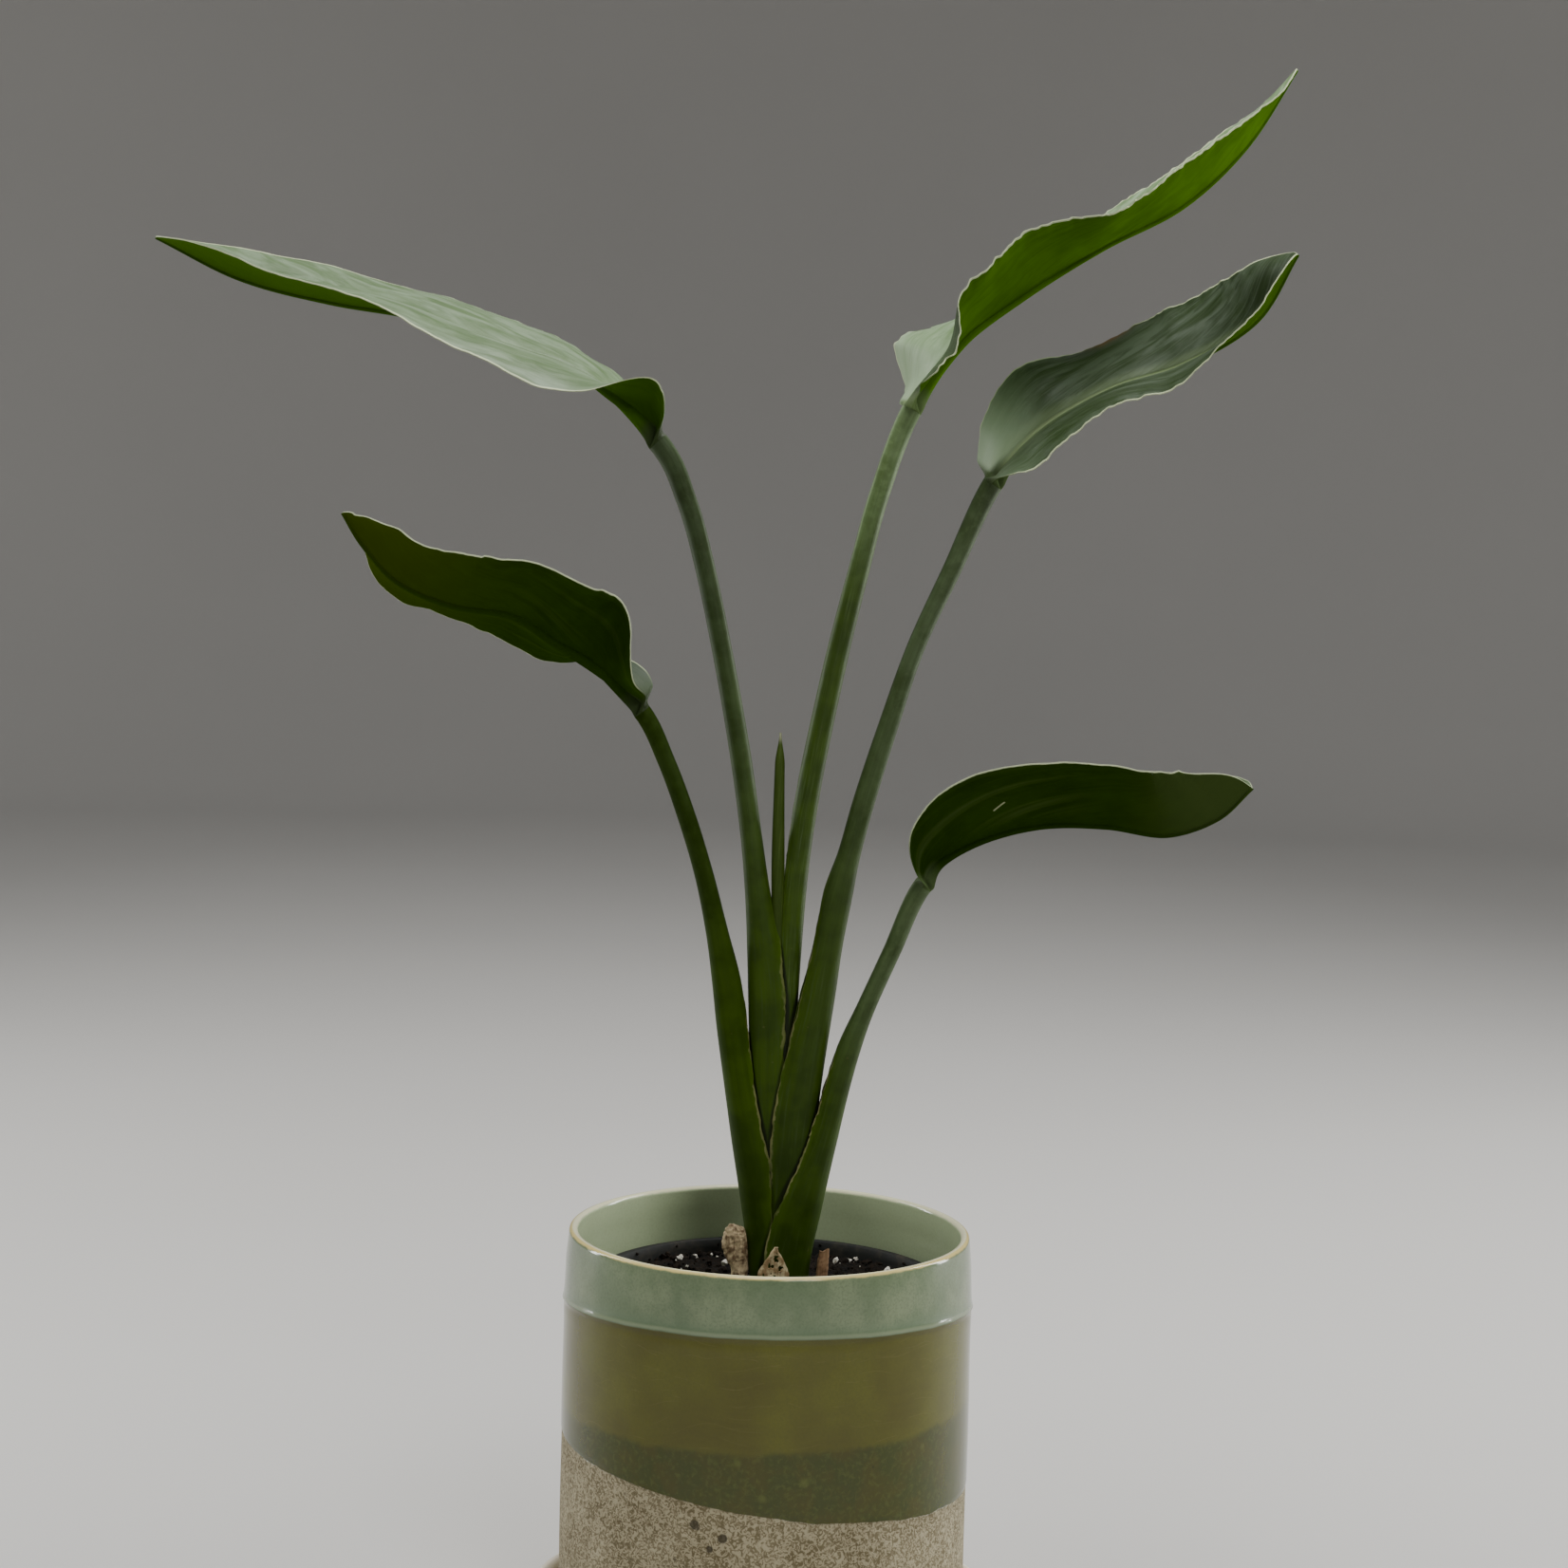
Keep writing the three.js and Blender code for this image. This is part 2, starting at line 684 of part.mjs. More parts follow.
function addPerlite() {
  const holes = [];
  PERLITE.forEach(([x, y, radius], i) => {
    const height = SOIL.top + soilLump(x, y) + PERLITE_RISE * radius;
    const grain = weld(new THREE.IcosahedronGeometry(radius)).rotateX(i).translate(x, y, height);
    const dimple = weld(new THREE.IcosahedronGeometry(radius + GAP)).rotateX(i).translate(x, y, height);
    add(`perlite_${i + 1}`, grain, 'perlite');
    holes.push(toSolid(dimple));
  });
  return holes;
}

addHolder();
const plantHoles = addPlant();
let soil = soilBlock();
for (const hole of [...plantHoles, ...addRemains(plantHoles), ...addPerlite()]) {
  soil = soil.subtract(hole);
}
add('soil', toGeometry(soil), 'soil');

export default group;
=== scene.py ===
# A young bird of paradise plant in a banded, glazed stoneware pot on its saucer.
# Shapes are worked out in millimetres and turned into metres as each mesh is made.
import math

import bmesh
import bpy
import numpy as np
from mathutils import Matrix, Vector


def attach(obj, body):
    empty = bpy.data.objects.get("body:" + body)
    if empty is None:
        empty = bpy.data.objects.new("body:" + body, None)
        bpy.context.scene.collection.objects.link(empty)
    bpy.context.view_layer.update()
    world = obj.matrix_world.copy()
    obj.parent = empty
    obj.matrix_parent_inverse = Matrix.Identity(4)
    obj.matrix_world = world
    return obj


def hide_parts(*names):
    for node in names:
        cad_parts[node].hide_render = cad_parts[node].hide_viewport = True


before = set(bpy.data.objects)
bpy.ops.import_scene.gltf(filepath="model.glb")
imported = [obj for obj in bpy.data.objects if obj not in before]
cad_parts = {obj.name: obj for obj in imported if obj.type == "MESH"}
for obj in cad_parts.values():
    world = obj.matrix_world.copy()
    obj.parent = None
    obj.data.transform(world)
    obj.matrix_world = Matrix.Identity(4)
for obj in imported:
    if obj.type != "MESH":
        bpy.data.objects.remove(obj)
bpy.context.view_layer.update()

MM = 0.001
TAU = 2 * math.pi

# ---------------------------------------------------------------- plant, as in the solids

# Rows of a stem: x, y, z, half width in the fan's plane, half depth across it. A blade's
# midrib goes on from its stem. half_width is its greatest, blunt says how blunt its outline
# is at its foot and at its tip, and shift where it is widest. front and back are how far
# each half lifts, in degrees, at even steps along it, and curl how far each half then bends.
LEAVES = {
    "low_right": {
        "side": 1,
        "stem": [
            [5.8, -1.5, 124, 8.6, 8], [5.8, -2.5, 148, 9.7, 8.4], [11.2, -3, 172, 8.7, 8],
            [18.3, -3, 194, 6, 6], [23.2, -3, 213, 5, 4.8], [28, -3.5, 230, 4.4, 4.2],
            [33.4, -5, 245, 3.7, 3.8], [42, -6, 265.9, 3.7, 3.7], [53, -7, 291.5, 4, 4.1],
        ],
        "midrib": [
            [70.3, -12, 306.2], [94, -18, 315], [118, -25, 316.5],
            [139.5, -31.5, 314.5], [156.5, -38, 321.5], [167.4, -42, 333.4],
        ],
        "half_width": 32.9, "blunt": (0.48, 0.39), "shift": 0.92,
        "front": [-6, 62, 73, 70, 64, 57, 51, 49, 47, 45, 48, 55, 60, 62, 69, 68, 64],
        "back": [29, 57, 48, 45, 42, 38, 36, 36, 35, 37, 40, 37, 33, 29, 28, 22, 9],
        "curl": [-20, -20],
    },
    "left": {
        "side": -1,
        "stem": [
            [0.5, 0, 124, 6.5, 6.8], [-0.8, 0, 148, 7, 7.1], [-3.6, -0.4, 172, 7.8, 7.2],
            [-7.9, -0.5, 194, 7.3, 6.8], [-12.3, -0.5, 215, 6.2, 6], [-15.9, -1, 236, 5.8, 5.2],
            [-18.4, -1.5, 253, 5.4, 4.6], [-22.4, -2.5, 272, 4.2, 4], [-27.5, -3.5, 293, 3.7, 3.8],
            [-34.1, -4.5, 314, 3.7, 3.7], [-42.2, -5.5, 335, 3.6, 3.7],
            [-51.5, -5.9, 353, 3.8, 3.8],
        ],
        "midrib": [
            [-68.3, -8, 367.8], [-83, -11, 377], [-99, -16, 387], [-120.5, -23, 390.5],
            [-139, -30, 398.5], [-150.5, -35, 411], [-157.5, -38, 422.5],
        ],
        "half_width": 33.4, "blunt": (0.61, 0.53), "shift": 0.86,
        "front": [39, 21, 44, 75, 65, 56, 47, 41, 36, 39, 40, 40, 43, 43, 43, 40, 35],
        "back": [65, 40, 14, -9, -18, -22, -23, -18, -11, -9, -13, -13, -12, -8, -5, -5, -5],
        "curl": [-25, -25],
    },
    "right": {
        "side": 1,
        "stem": [
            [4.5, -0.5, 124, 6.2, 6], [5.2, -1, 150, 7.2, 6.3], [6.2, -1.3, 175, 8.4, 6.5],
            [7.4, -1.5, 200, 9.1, 6.5], [10.8, -1.5, 223, 8.1, 6.2], [15.6, -1.5, 250, 6.8, 5.6],
            [18.8, -2, 268, 5.7, 5], [22.2, -2.5, 287, 5.5, 4.6], [25.9, -3, 302, 4.3, 4.1],
            [31, -3.5, 323, 4.2, 4], [39, -4.5, 351, 4, 3.9], [48, -5, 379.5, 3.7, 3.8],
            [60, -5.5, 407.6, 3.9, 3.8], [73.9, -6, 439.4, 4.3, 4.2],
        ],
        "midrib": [
            [90, -9, 459], [115, -14, 474.5], [140, -20, 483.5],
            [164.5, -27, 499], [177, -35, 522],
        ],
        "half_width": 33.3, "blunt": (0.31, 0.41), "shift": 0.83,
        "front": [4, -8, -16, -16, -15, -13, -11, -12, -13, -14, -9, -2, 4, 9, 12, 14, 12],
        "back": [20, 28, 36, 43, 45, 36, 31, 33, 39, 42, 43, 44, 46, 46, 43, 33, 4],
        "curl": [-15, -35],
    },
    "top_left": {
        "side": -1,
        "stem": [
            [3, 0, 124, 4.8, 4.6], [1.5, 0, 150, 5.4, 4.8], [-0.5, 0, 180, 6.6, 5.1],
            [-1.6, 0, 215, 7.2, 5.3], [-2.2, 0, 244, 7.9, 5.4], [-4.4, 0, 265, 6.7, 5],
            [-7.6, 0.5, 286, 4.8, 4.4], [-10.7, 1, 308, 4, 4], [-15.1, 3, 336, 4, 4],
            [-21.5, 5, 369, 4, 4], [-29.6, 6.5, 405, 4.1, 4], [-37.2, 7, 430.6, 4.3, 4.1],
            [-48.2, 7, 452, 4.6, 4.4],
        ],
        "midrib": [
            [-77, 8, 476.8], [-105.5, 12, 486], [-138.5, 18, 496.2],
            [-173.5, 25, 501.6], [-209, 32, 510], [-242, 40, 525.5],
        ],
        "half_width": 36.3, "blunt": (0.48, 0.66), "shift": 0.85,
        "front": [17, 38, -9, -22, -19, -14, -13, -10, -4, 2, 6, 8, 11, 18, 21, 19, 8],
        "back": [-3, 7, 14, 11, 14, 17, 18, 18, 19, 20, 24, 30, 35, 38, 42, 36, 24],
        "curl": [-45, -30],
    },
    "top_right": {
        "side": 1,
        "stem": [
            [4, 0, 124, 3.4, 3.2], [3.8, 0, 155, 3.6, 3.4], [3.4, 0, 190, 3.9, 3.6],
            [3.6, 0.5, 225, 4.3, 3.8], [4.4, 1, 260, 4.6, 4], [6.3, 2, 294, 4.7, 4.1],
            [9.8, 3, 322, 4.5, 4.1], [14.7, 4, 350.5, 4.4, 4.1], [20.2, 5, 379, 4.4, 4.1],
            [26.4, 5.5, 407, 4.3, 4], [33.1, 6, 435, 4.2, 4], [44, 6, 466, 4.3, 4.1],
        ],
        "midrib": [
            [61.2, 9, 490.2], [83.5, 14, 508], [114, 20, 528.5],
            [144, 27, 545], [168, 35, 568.5], [187.5, 44, 599.5],
        ],
        "half_width": 37.4, "blunt": (0.23, 0.53), "shift": 0.67,
        "front": [5, 0, 1, 18, 22, 26, 29, 22, 13, 17, 24, 26, 26, 23, 16, 3, 1],
        "back": [8, 8, 29, 20, 13, 13, 14, 16, 18, 22, 29, 33, 35, 36, 33, 17, 3],
        "curl": [-20, -30],
    },
}
OLD_TO_YOUNG = ["low_right", "left", "right", "top_left", "top_right"]
YOUNG_LEAF = [
    [3, 0, 150, 1.4, 1.4], [2, 0, 200, 1.8, 1.8], [0.8, 0, 250, 2.2, 2.2],
    [-0.4, -0.3, 294, 2.6, 2.5], [-0.7, -0.8, 322, 2.2, 2.2], [-0.7, -1, 346, 1.8, 1.8],
]
PERLITE = [
    [26.6, 45.8, 1.7], [31.5, 50.1, 1.3], [34.2, 51.8, 1.2], [46, 34, 1.5],
    [-34.9, 44.4, 1.5], [-29, 49.4, 1.2], [-16.8, 39.7, 1.8], [-44, 8, 1.4],
    [-30, -35, 1.6], [8, -44, 1.3], [39, -22, 1.6],
]
BLADE_THICKNESS = 0.7
GROOVE = 0.3  # how deep the stalk's channel is, as a share of its half width
GROOVE_START = 0.55  # the part of the stalk's length where the channel starts
SHEATH_GAP = 0.35
SOIL_TOP = 136
SOIL_LUMP = 0.9
SHARP_ANGLE = 60  # degrees between two faces, past which their edge looks sharp
LIP_FACETS = 12
FAR = 50.0  # a distance, in millimetres, past any that counts

# ---------------------------------------------------------------- small maths


def smooth(low, high, value):
    """0 below low, 1 above high, and a soft step between them."""
    t = np.clip((np.asarray(value, float) - low) / (high - low), 0, 1)
    return t * t * (3 - 2 * t)


def ripple(x, wavelengths, seed):
    """A wavy line of height -1 to 1 along x, the same at each run."""
    phases = np.random.default_rng(seed).uniform(0, TAU, len(wavelengths))
    waves = [np.sin(TAU * x / w + p) for w, p in zip(wavelengths, phases)]
    return sum(waves) / len(waves)


def rough(points, wavelength, seed, waves=12):
    """A bumpy field of height about -1 to 1 over points, the same at each run."""
    rng = np.random.default_rng(seed)
    ways = rng.normal(size=(waves, 3))
    ways /= np.linalg.norm(ways, axis=1)[:, None]
    lengths = wavelength * rng.uniform(0.6, 1.8, waves)
    phases = rng.uniform(0, TAU, waves)
    ways *= (TAU / lengths)[:, None]
    return np.sin(points @ ways.T + phases).sum(-1) / math.sqrt(waves)


def curve(rows, t):
    """Points of an even Catmull-Rom curve through rows at t, from 0 to 1, and its slope."""
    p = np.asarray(rows, float)
    p = np.vstack([2 * p[0] - p[1], p, 2 * p[-1] - p[-2]])
    spans = len(p) - 3
    u = np.clip(np.asarray(t, float), 0, 1) * spans
    i = np.minimum(u.astype(int), spans - 1)
    f = (u - i)[:, None]
    a, b, c, d = p[i], p[i + 1], p[i + 2], p[i + 3]
    m, n = (c - a) / 2, (d - b) / 2
    square = 3 * (c - b) - 2 * m - n
    cube = 2 * (b - c) + m + n
    return b + m * f + square * f**2 + cube * f**3, m + 2 * square * f + 3 * cube * f**2


def unit(vectors):
    return vectors / np.linalg.norm(vectors, axis=-1, keepdims=True)


def frames(rows, t):
    """Middle, direction, the way to the front (-Y) and the way out, along a curve."""
    centre, slope = curve([row[:3] for row in rows], t)
    ahead = unit(slope)
    front = np.array([0.0, -1.0, 0.0]) + ahead * ahead[:, 1:2]
    front = unit(front)
    return centre, ahead, front, np.cross(ahead, front)


def girth(rows, t):
    """Half width and half depth along rows of a stem."""
    return curve([row[3:5] for row in rows], t)[0]


def along_curve(centre):
    """How far along a line of points each one is."""
    steps = np.linalg.norm(np.diff(centre, axis=0), axis=1)
    return np.concatenate([[0], np.cumsum(steps)])


# ---------------------------------------------------------------- meshes


def grid_faces(rows, columns, closed=False):
    """Quads over a grid of points. A closed grid joins its last column to its first."""
    i = np.arange(rows - 1)[:, None] * columns
    j = np.arange(columns if closed else columns - 1)[None, :]
    k = (j + 1) % columns
    quads = np.stack([i + j, i + k, i + columns + k, i + columns + j], -1)
    return quads.reshape(-1, 4).tolist()


def closed_grid(points):
    """The points of a closed grid, one after another, and its faces."""
    return points.reshape(-1, 3), grid_faces(*points.shape[:2], closed=True)


def put_in_scene(name, data):
    """A new object that holds a mesh, a light or a camera."""
    made = bpy.data.objects.new(name, data)
    bpy.context.scene.collection.objects.link(made)
    return made


def make(name, points, faces, slot, material, marks=None):
    """A new piece of the object, from points in millimetres, that rides on the body."""
    mesh = bpy.data.meshes.new(name)
    mesh.from_pydata((np.asarray(points) * MM).tolist(), [], faces)
    for mark, values in (marks or {}).items():
        values = np.asarray(values, np.float32)
        kind, key = ("FLOAT", "value") if values.ndim == 1 else ("FLOAT_VECTOR", "vector")
        mesh.attributes.new(mark, kind, "POINT").data.foreach_set(key, values.ravel())
    work = bmesh.new()
    work.from_mesh(mesh)
    bmesh.ops.recalc_face_normals(work, faces=work.faces)
    work.to_mesh(mesh)
    work.free()
    mesh.polygons.foreach_set("use_smooth", [True] * len(mesh.polygons))
    mesh.set_sharp_from_angle(angle=math.radians(SHARP_ANGLE))
    mesh.materials.append(material)
    piece = put_in_scene(name, mesh)
    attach(piece, "root")
    return piece


def turned(profile, sides):
    """A turned surface about +Z over a profile of radius and height."""
    angle = TAU * np.arange(sides) / sides
    ring = np.stack([np.cos(angle), np.sin(angle)], -1)
    profile = np.asarray(profile, float)
    points = np.empty((len(profile), sides, 3))
    points[..., :2] = profile[:, None, :1] * ring
    points[..., 2] = profile[:, 1:2]
    return points


def spaced(profile, step):
    """A profile with extra points, so that none are further apart than about step."""
    out = [profile[0]]
    for a, b in zip(profile, profile[1:]):
        count = max(1, round(math.dist(a, b) / step))
        for i in range(1, count + 1):
            out.append([a[0] + (b[0] - a[0]) * i / count, a[1] + (b[1] - a[1]) * i / count])
    return out


def lip(radius, height, size):
    """The half circle of a rounded lip, from its outside to its inside."""
    turn = [math.pi * i / LIP_FACETS for i in range(LIP_FACETS + 1)]
    return [[radius + size * math.cos(a), height + size * math.sin(a)] for a in turn]


def ovals(centre, front, out, deep, wide):
    """Rings of points round a curve, deep along its front and wide along its way out."""
    return centre[:, None] + deep[..., None] * front[:, None] + wide[..., None] * out[:, None]


def tube_faces(count, sides):
    """Quads round count rings, with a cap at each end."""
    caps = [list(range(sides))[::-1], [(count - 1) * sides + i for i in range(sides)]]
    return grid_faces(count, sides, closed=True) + caps


def skin_mark(count, sides, round_it, length, part):
    """For each point of a tube: how far round it, how far along and what part of the length."""
    skin = np.empty((count, sides, 3))
    skin[..., 0], skin[..., 1], skin[..., 2] = round_it[None], length[:, None], part[:, None]
    return skin.reshape(-1, 3)


# ---------------------------------------------------------------- material nodes


def sums(operation):
    """A method that works with one Math node."""
    return lambda value, other=None: value.look.node("Math", value, other, operation=operation)


class Value:
    """What a node gives. Sums with values are written as Python's own."""

    __add__, __sub__ = sums("ADD"), sums("SUBTRACT")
    __mul__, __truediv__ = sums("MULTIPLY"), sums("DIVIDE")
    __abs__, fraction, larger = sums("ABSOLUTE"), sums("FRACT"), sums("MAXIMUM")

    def __init__(self, look, socket):
        self.look, self.socket = look, socket

    def __rsub__(self, other):
        return self.look.node("Math", other, self, operation="SUBTRACT")

    def spread(self, low, high, most=1.0, least=0.0):
        """A soft step from least to most as this goes from low to high."""
        limits = low, high, least, most
        return self.look.node("MapRange", self, *limits, interpolation_type="SMOOTHSTEP")

    def mix(self, first, second):
        """From the first colour to the second as this goes from 0 to 1."""
        inputs = {0: self, 6: first, 7: second}
        return self.look.node("Mix", inputs=inputs, output=2, data_type="RGBA")

    def split(self):
        made = self.look.node("SeparateXYZ", self).socket.node
        return [Value(self.look, socket) for socket in made.outputs]

    def stretch(self, x, y, z):
        return self.look.node("VectorMath", self, (x, y, z), operation="MULTIPLY")

    def distance(self, spot):
        return self.look.node("VectorMath", self, spot, output="Value", operation="DISTANCE")

    def noise(self, size, detail=3.0, roughness=0.55, distortion=0.0):
        """Soft noise, 0 to 1, whose blotches are about size millimetres."""
        inputs = {"Vector": self, "Scale": 1 / size, "Detail": detail}
        inputs |= {"Roughness": roughness, "Distortion": distortion}
        return self.look.node("TexNoise", inputs=inputs)

    def cells(self, size):
        """How far it is to the middle of the nearest of cells of about size millimetres."""
        inputs = {"Vector": self, "Scale": 1 / size}
        return self.look.node("TexVoronoi", inputs=inputs, output="Distance")


class Look:
    """A Principled material whose colour, roughness and bump come from nodes."""

    def __init__(self, name, **settings):
        self.material = bpy.data.materials.new(name)
        self.material.use_nodes = True
        self.shader = self.material.node_tree.nodes["Principled BSDF"]
        for socket, value in settings.items():
            self.put(self.shader.inputs[socket.replace("_", " ")], value)

    def put(self, socket, value):
        if isinstance(value, Value):
            self.material.node_tree.links.new(value.socket, socket)
        elif value is not None:
            socket.default_value = value

    def node(self, kind, *ordered, inputs=None, output=0, **options):
        """An output of a new node, with its inputs given in order or by number or name."""
        made = self.material.node_tree.nodes.new("ShaderNode" + kind)
        for key, value in options.items():
            setattr(made, key, value)
        for key, value in (inputs or dict(enumerate(ordered))).items():
            self.put(made.inputs[key], value)
        return Value(self, made.outputs[output])

    def place(self):
        """Where a point of the object is, in millimetres."""
        inputs = {0: self.node("TexCoord", output="Object"), "Scale": 1 / MM}
        return self.node("VectorMath", inputs=inputs, operation="SCALE")

    def mark(self, name):
        """The three numbers that each point of the mesh carries under a name."""
        return self.node("Attribute", output="Vector", attribute_name=name)

    def vector(self, x, y, z):
        return self.node("CombineXYZ", x, y, z)

    def gloss(self, value, low, high):
        """Strength of the reflection from low to high as value goes from 0 to 1."""
        level = self.node("MapRange", value, 0.0, 1.0, low, high)
        self.put(self.shader.inputs["Specular IOR Level"], level)

    def finish(self, colour, rough, height, depth):
        """The material. rough is a value and the roughness where it is 0 and where it is 1,
        and height goes from 0 to 1 over a bump of depth millimetres."""
        value, low, high = rough
        self.put(self.shader.inputs["Base Color"], colour)
        self.put(self.shader.inputs["Roughness"], self.node("MapRange", value, 0.0, 1.0, low, high))
        inputs = {"Strength": 1.0, "Distance": depth * MM, "Height": height}
        self.put(self.shader.inputs["Normal"], self.node("Bump", inputs=inputs))
        return self.material


def srgb(r, g, b):
    """A colour given as it looks, 0 to 255, in the linear numbers that a shader takes."""
    linear = [v / 12.92 if v <= 0.04045 else ((v + 0.055) / 1.055) ** 2.4
              for v in (r / 255, g / 255, b / 255)]
    return (*linear, 1.0)


def blend(first, second, share):
    return tuple(a + (b - a) * share for a, b in zip(first, second))


def shade(colour, factor):
    """A linear colour, lighter or darker."""
    return (*(c * factor for c in colour[:3]), 1.0)


# ---------------------------------------------------------------- stoneware and glaze

# The glaze changes along tilted planes: height = at + east * x + north * y.
CELADON_EDGE = (133.4, 0.0, -0.064)
OLIVE_EDGE = (97.8, 0.03, 0.011)
GLAZE_EDGE = (75.0, -0.117, 0.0)
CELADON, CELADON_PALE = srgb(104, 120, 90), srgb(122, 135, 104)
CELADON_POOL, INNER_GLAZE_LIT = srgb(98, 117, 92), srgb(176, 190, 152)
LIP_TAN, LIP_CREAM_HIGHLIGHT = srgb(212, 192, 122), srgb(222, 218, 182)
OLIVE, OLIVE_WARM = srgb(90, 91, 18), srgb(79, 76, 12)
MOSS, MOSS_BROWN, MOSS_PALE = srgb(57, 64, 11), srgb(66, 65, 9), srgb(90, 96, 36)
RAW_PALE, RAW_DARK = srgb(174, 165, 136), srgb(102, 91, 62)
SAUCER_PALE, SAUCER_DARK = srgb(240, 233, 215), srgb(222, 213, 192)
SAUCER_CREAM = srgb(236, 228, 210)


def above(edge, x, y, z):
    at, east, north = edge
    return z - (at + east * x + north * y)


def stoneware(place, pale, dark):
    """The colour of raw speckled clay, and its short pale worms and its dark spots."""
    worms = place.noise(1.7, 3, 0.5, 1.8)
    grain = place.noise(0.5, 2)
    patch = place.noise(14, 2)
    tone = worms.spread(0.42, 0.58)
    tone = patch.spread(0.3, 0.7) * 0.22 + tone * 0.78
    colour = tone.mix(dark, pale)
    colour = grain.spread(0.66, 0.8, 0.35).mix(colour, shade(dark, 0.6))
    spot = place.cells(9).spread(0.09, 0.05)
    return (spot * 0.6).mix(colour, shade(dark, 0.6)), worms, spot


# Dark pits in the raw clay: where each one is and its radius.
PITS = [
    (-23.8, -73, 70.2, 1.6), (-22.6, -73.4, 69.1, 0.9), (-13.7, -75.6, 66.3, 1.5),
    (-18.3, -74.6, 62.1, 1.2),
]
# Pale rings in the dark glaze.
RINGS = [
    (14.8, -75.4, 87.1, 1.5), (0, -76.8, 81.4, 1.1), (-9, -76.2, 94, 1.3),
    (57, -51.5, 93.9, 0.9),
]


def pot_look():
    look = Look("pot_glaze_look", IOR=1.5, Specular_IOR_Level=0.42)
    place = look.place()
    x, y, z = place.split()
    wobble = place.noise(22, 2)
    fine = place.noise(4, 3)
    mist = place.noise(0.9, 3, 0.6)

    def height_over(edge, slow, quick):
        at, east, north = edge
        level = x * east + y * north + at
        over = z - level
        over = wobble * slow + (over - slow / 2)
        return fine * quick + (over - quick / 2)

    def nearest(spots, soft):
        """1 inside the spots, each given by its middle and radius, and 0 outside them."""
        ragged = fine * 1.6 - 0.8
        inside = None
        for *middle, radius in spots:
            here = (place.distance(middle) + ragged).spread(radius + soft, radius - soft)
            inside = here if inside is None else inside.larger(here)
        return inside

    raw_colour, worms, spot = stoneware(place, RAW_PALE, RAW_DARK)
    pit = nearest(PITS, 0.35)
    raw_colour = (pit * 0.85).mix(raw_colour, shade(RAW_DARK, 0.3))

    # Dark green-grey, clouded with olive brown, with pale rings and a few dark specks.
    blotch = place.noise(11, 4, 0.6, 0.5)
    speck = place.noise(1.8, 3, 0.6, 0.6)
    moss = blotch.spread(0.38, 0.66).mix(MOSS, MOSS_BROWN)
    moss = speck.spread(0.46, 0.7, 0.36).mix(moss, MOSS_PALE)
    moss = (nearest(RINGS, 1.0) * 0.45).mix(moss, shade(MOSS_PALE, 1.15))
    moss = place.cells(10).spread(0.06, 0.03, 0.6).mix(moss, shade(MOSS, 0.45))

    # Olive, with faint, nearly level crackle and throwing lines.
    olive = place.noise(26, 2).spread(0.3, 0.7).mix(OLIVE, OLIVE_WARM)
    bent = look.vector(x, y, place.noise(34, 1) * 14.0 + z)
    lines = None
    for size, swing, gap in ((34.0, 22.0, 5.2), (19.0, 12.0, 8.3)):
        height = place.noise(size, 1) * swing + z
        off = abs((height / gap).fraction() - 0.5)
        shown = place.noise(size * 0.45, 2).spread(0.5, 0.58)
        line = off.spread(0.16 / gap, 0.02 / gap) * shown
        lines = line if lines is None else lines.larger(line)
    olive = (lines * 0.16).mix(olive, srgb(140, 136, 80))
    turns = bent.stretch(0.05, 0.05, 1).noise(1.6, 2)
    olive = turns.spread(0.4, 0.7, 0.07).mix(olive, shade(OLIVE, 1.25))
    olive = mist.spread(0.35, 0.7, 0.3).mix(olive, shade(OLIVE_WARM, 0.8))

    # Celadon: misty, in faint vertical runs, bluer just over its edge and thin at the lip, with
    # painted highlights on its roll and on the lip.
    runs = place.stretch(1, 1, 0.16).noise(3.2, 3)
    cloud = place.noise(17, 3)
    celadon = cloud.spread(0.35, 0.68).mix(CELADON, CELADON_PALE)
    smear = (runs * cloud.spread(0.4, 0.65)).spread(0.3, 0.62, 0.14)
    celadon = smear.mix(celadon, shade(CELADON_PALE, 1.35))
    misty = mist.spread(0.4, 0.72, 0.4)
    celadon = misty.mix(celadon, shade(CELADON, 0.68))
    over_ridge = height_over(CELADON_EDGE, 1.2, 0.0)
    celadon = over_ridge.spread(7, 0, 0.6).mix(celadon, CELADON_POOL)
    # A pale line along the crest of the celadon's roll: a painted highlight.
    crest_highlight = over_ridge.spread(0.1, 0.7) * over_ridge.spread(2, 1, 0.45)
    celadon = crest_highlight.mix(celadon, srgb(152, 160, 130))
    across = x * x + y * y  # the square of how far it is from the pot's axis
    # The inside's celadon is painted much lighter than the outside's: painted light falling into
    # the pot.
    inside = across.spread(5480, 5430)
    celadon = inside.mix(celadon, misty.mix(INNER_GLAZE_LIT, shade(INNER_GLAZE_LIT, 0.8)))
    worn = fine + z
    # Tan where the glaze thins on the lip's outer edge, and cream along its inner top: a painted
    # highlight.
    lip_tan_and_highlight = across.spread(5500, 5390).mix(LIP_TAN, LIP_CREAM_HIGHLIGHT)
    celadon = worn.spread(159.2, 160, 0.9).mix(celadon, lip_tan_and_highlight)

    in_celadon = over_ridge.spread(-0.3, 0.3).larger(inside)
    in_olive = height_over(OLIVE_EDGE, 4.0, 2.5).spread(-1.5, 1.5)
    in_glaze = height_over(GLAZE_EDGE, 3.0, 0.8).spread(-0.25, 0.25).larger(inside)
    # A darker line in the olive just below the celadon's roll.
    under_ridge = over_ridge.spread(-3, -0.2) * 0.45
    olive = under_ridge.mix(olive, shade(OLIVE_WARM, 0.62))
    glaze = in_celadon.mix(in_olive.mix(moss, olive), celadon)
    matt = 1.0 - in_glaze
    clay = (worms - spot.larger(pit * 2.0)) * matt
    peel = place.noise(7, 2) * 0.14
    dull = matt.larger(mist * 0.14)
    return look.finish(in_glaze.mix(raw_colour, glaze), (dull, 0.06, 0.84), clay + peel, 0.4)


